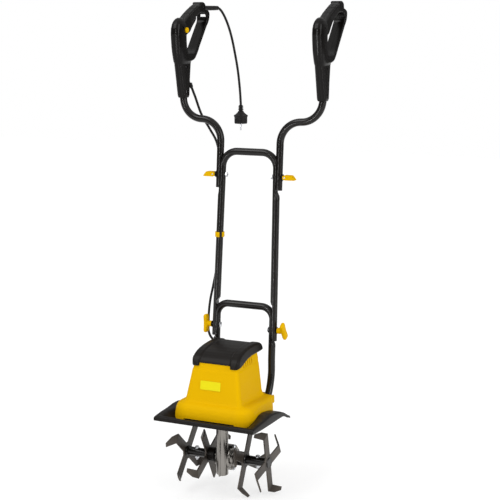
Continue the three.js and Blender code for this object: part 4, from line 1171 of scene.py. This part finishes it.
def build_switch():
    centre = -HANDLE_X
    bm = bmesh.new()
    add_prism(bm, TRIGGER, centre - 5.8, centre + 5.8, upright)
    mesh = remeshed(bm, 0.8, 4, "trigger")
    finish_piece("trigger_blade", mesh, "trigger", "black_plastic", ["trigger"], smooth=60)
    low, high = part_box("lock_off_button")
    length = (high.x - low.x) / MM / 2
    profile = [(0, -length), (7.3, -length), (7.3, length - 2), (6.8, length - 0.9), (5.6, length - 0.3),
               (4.2, length - 0.9), (0, length - 1.4)]
    turned_piece("lock_button", "lock_off_button", "yellow_plastic", profile, middle("lock_off_button"),
                 (1, 0, 0), 40, ["lock_off_button"], smooth=40)


for word, side in SIDES.items():
    build_handle(word, side)
build_switch()

# ------------------------------------------------------------------ supply cable and clip

SUPPLY_RADIUS = 3.4
SUPPLY = [(-204, 170, 1114), (-197, 181, 1092), (-183, 178, 1064), (-160, 171, 1016), (-131, 163, 978),
          (-109, 161, 944), (-99, 160, 905), (-98, 159, 889), (-95, 154.5, 818), (-95.5, 152, 798),
          (-96, 149, 776), (-94, 147, 735), (-91, 143.5, 690), (-92, 139, 640), (-98, 136, 590),
          (-107, 135, 545), (-119, 139, 500), (-126, 142.5, 458), (-127, 143, 428), (-127, 142, 412),
          (-121, 140, 396), (-108, 138, 383), (-88, 130, 373), (-66, 110, 362), (-51, 86, 354),
          (-45, 68, 352), (-45, 56, 352)]


def add_grommet(path):
    """The ribbed rubber collar where the cable comes out of the back of the handle."""
    profile = [(3.5, -4), (6.6, -4), (6.8, -1), (5.6, 0), (5.6, 2), (6.2, 2.6), (6.0, 4.4), (5.0, 5),
               (4.8, 8), (4.2, 9), (3.5, 9), (3.5, -4)]
    turned_piece("supply_grommet", "left_handle", "rubber", profile, path[5],
                 (path[7] - path[4]).normalized(), 28, smooth=40)


def build_supply():
    """One cable in three lengths, cut at heights: the middle length rides on the middle frame, and the two
    end lengths are attached to no body.
    """
    path = smooth_path([at(*p) for p in SUPPLY], 6)
    cuts = {"upper": (2000, 770), "middle": (770, 545), "lower": (545, 0)}
    nodes = {"upper": "upper_supply_cable", "middle": "middle_supply_cable", "lower": "lower_supply_cable"}
    for part, (top, bottom) in cuts.items():
        inside = [k for k, p in enumerate(path) if bottom * MM <= p.z <= top * MM]
        stretch = path[inside[0]:min(inside[-1] + 2, len(path))]
        bm = bmesh.new()
        add_tube(bm, stretch, SUPPLY_RADIUS, 16, round_end=False)
        body = "middle_frame_assembly" if part == "middle" else None
        piece = add_piece(f"{part}_cable", bm, body, "rubber", [nodes[part]])
        if part == "upper":
            add_grommet(stretch)
            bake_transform(piece)
        if part == "lower":
            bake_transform(piece)


def build_clip():
    """A snap clip: a C round the tube with a loop for the cable."""
    centre_z = middle("cable_clip").z / MM
    tube = Vector((-83.85, lean_y(centre_z)))
    cable = tube + Vector((-7, 13.8))
    bm = bmesh.new()
    for centre, inner, outer, start, sweep in ((tube, 10.3, 13, 250, -320), (cable, 3.9, 6.4, 300, -330)):
        rings = []
        for k in range(29):
            a = math.radians(start + sweep * k / 28 + (180 if centre is cable else 40))
            out = Vector((math.cos(a), math.sin(a)))
            rings.append([at(centre.x + out.x * r, centre.y + out.y * r, centre_z + z)
                          for r, z in ((inner, -6.4), (outer - 0.5, -7), (outer, -6.4), (outer, 6.4),
                                       (outer - 0.5, 7), (inner, 6.4))])
        add_loft(bm, rings)
    add_piece("snap_clip", bm, "middle_frame_assembly", "yellow_plastic", ["cable_clip"], smooth=40)


build_supply()
build_clip()

# ------------------------------------------------------------------ CAD pieces that stay

subparts = {s["node"]: s["material_slot"] for s in frame["record"]["subparts"]}
for name, node in frame["nodes"].items():
    if not node.hide_render:
        node.data.materials.clear()
        node.data.materials.append(MATERIALS[subparts[name]])
        node.data.shade_smooth()
        node.data.set_sharp_from_angle(angle=math.radians(30))
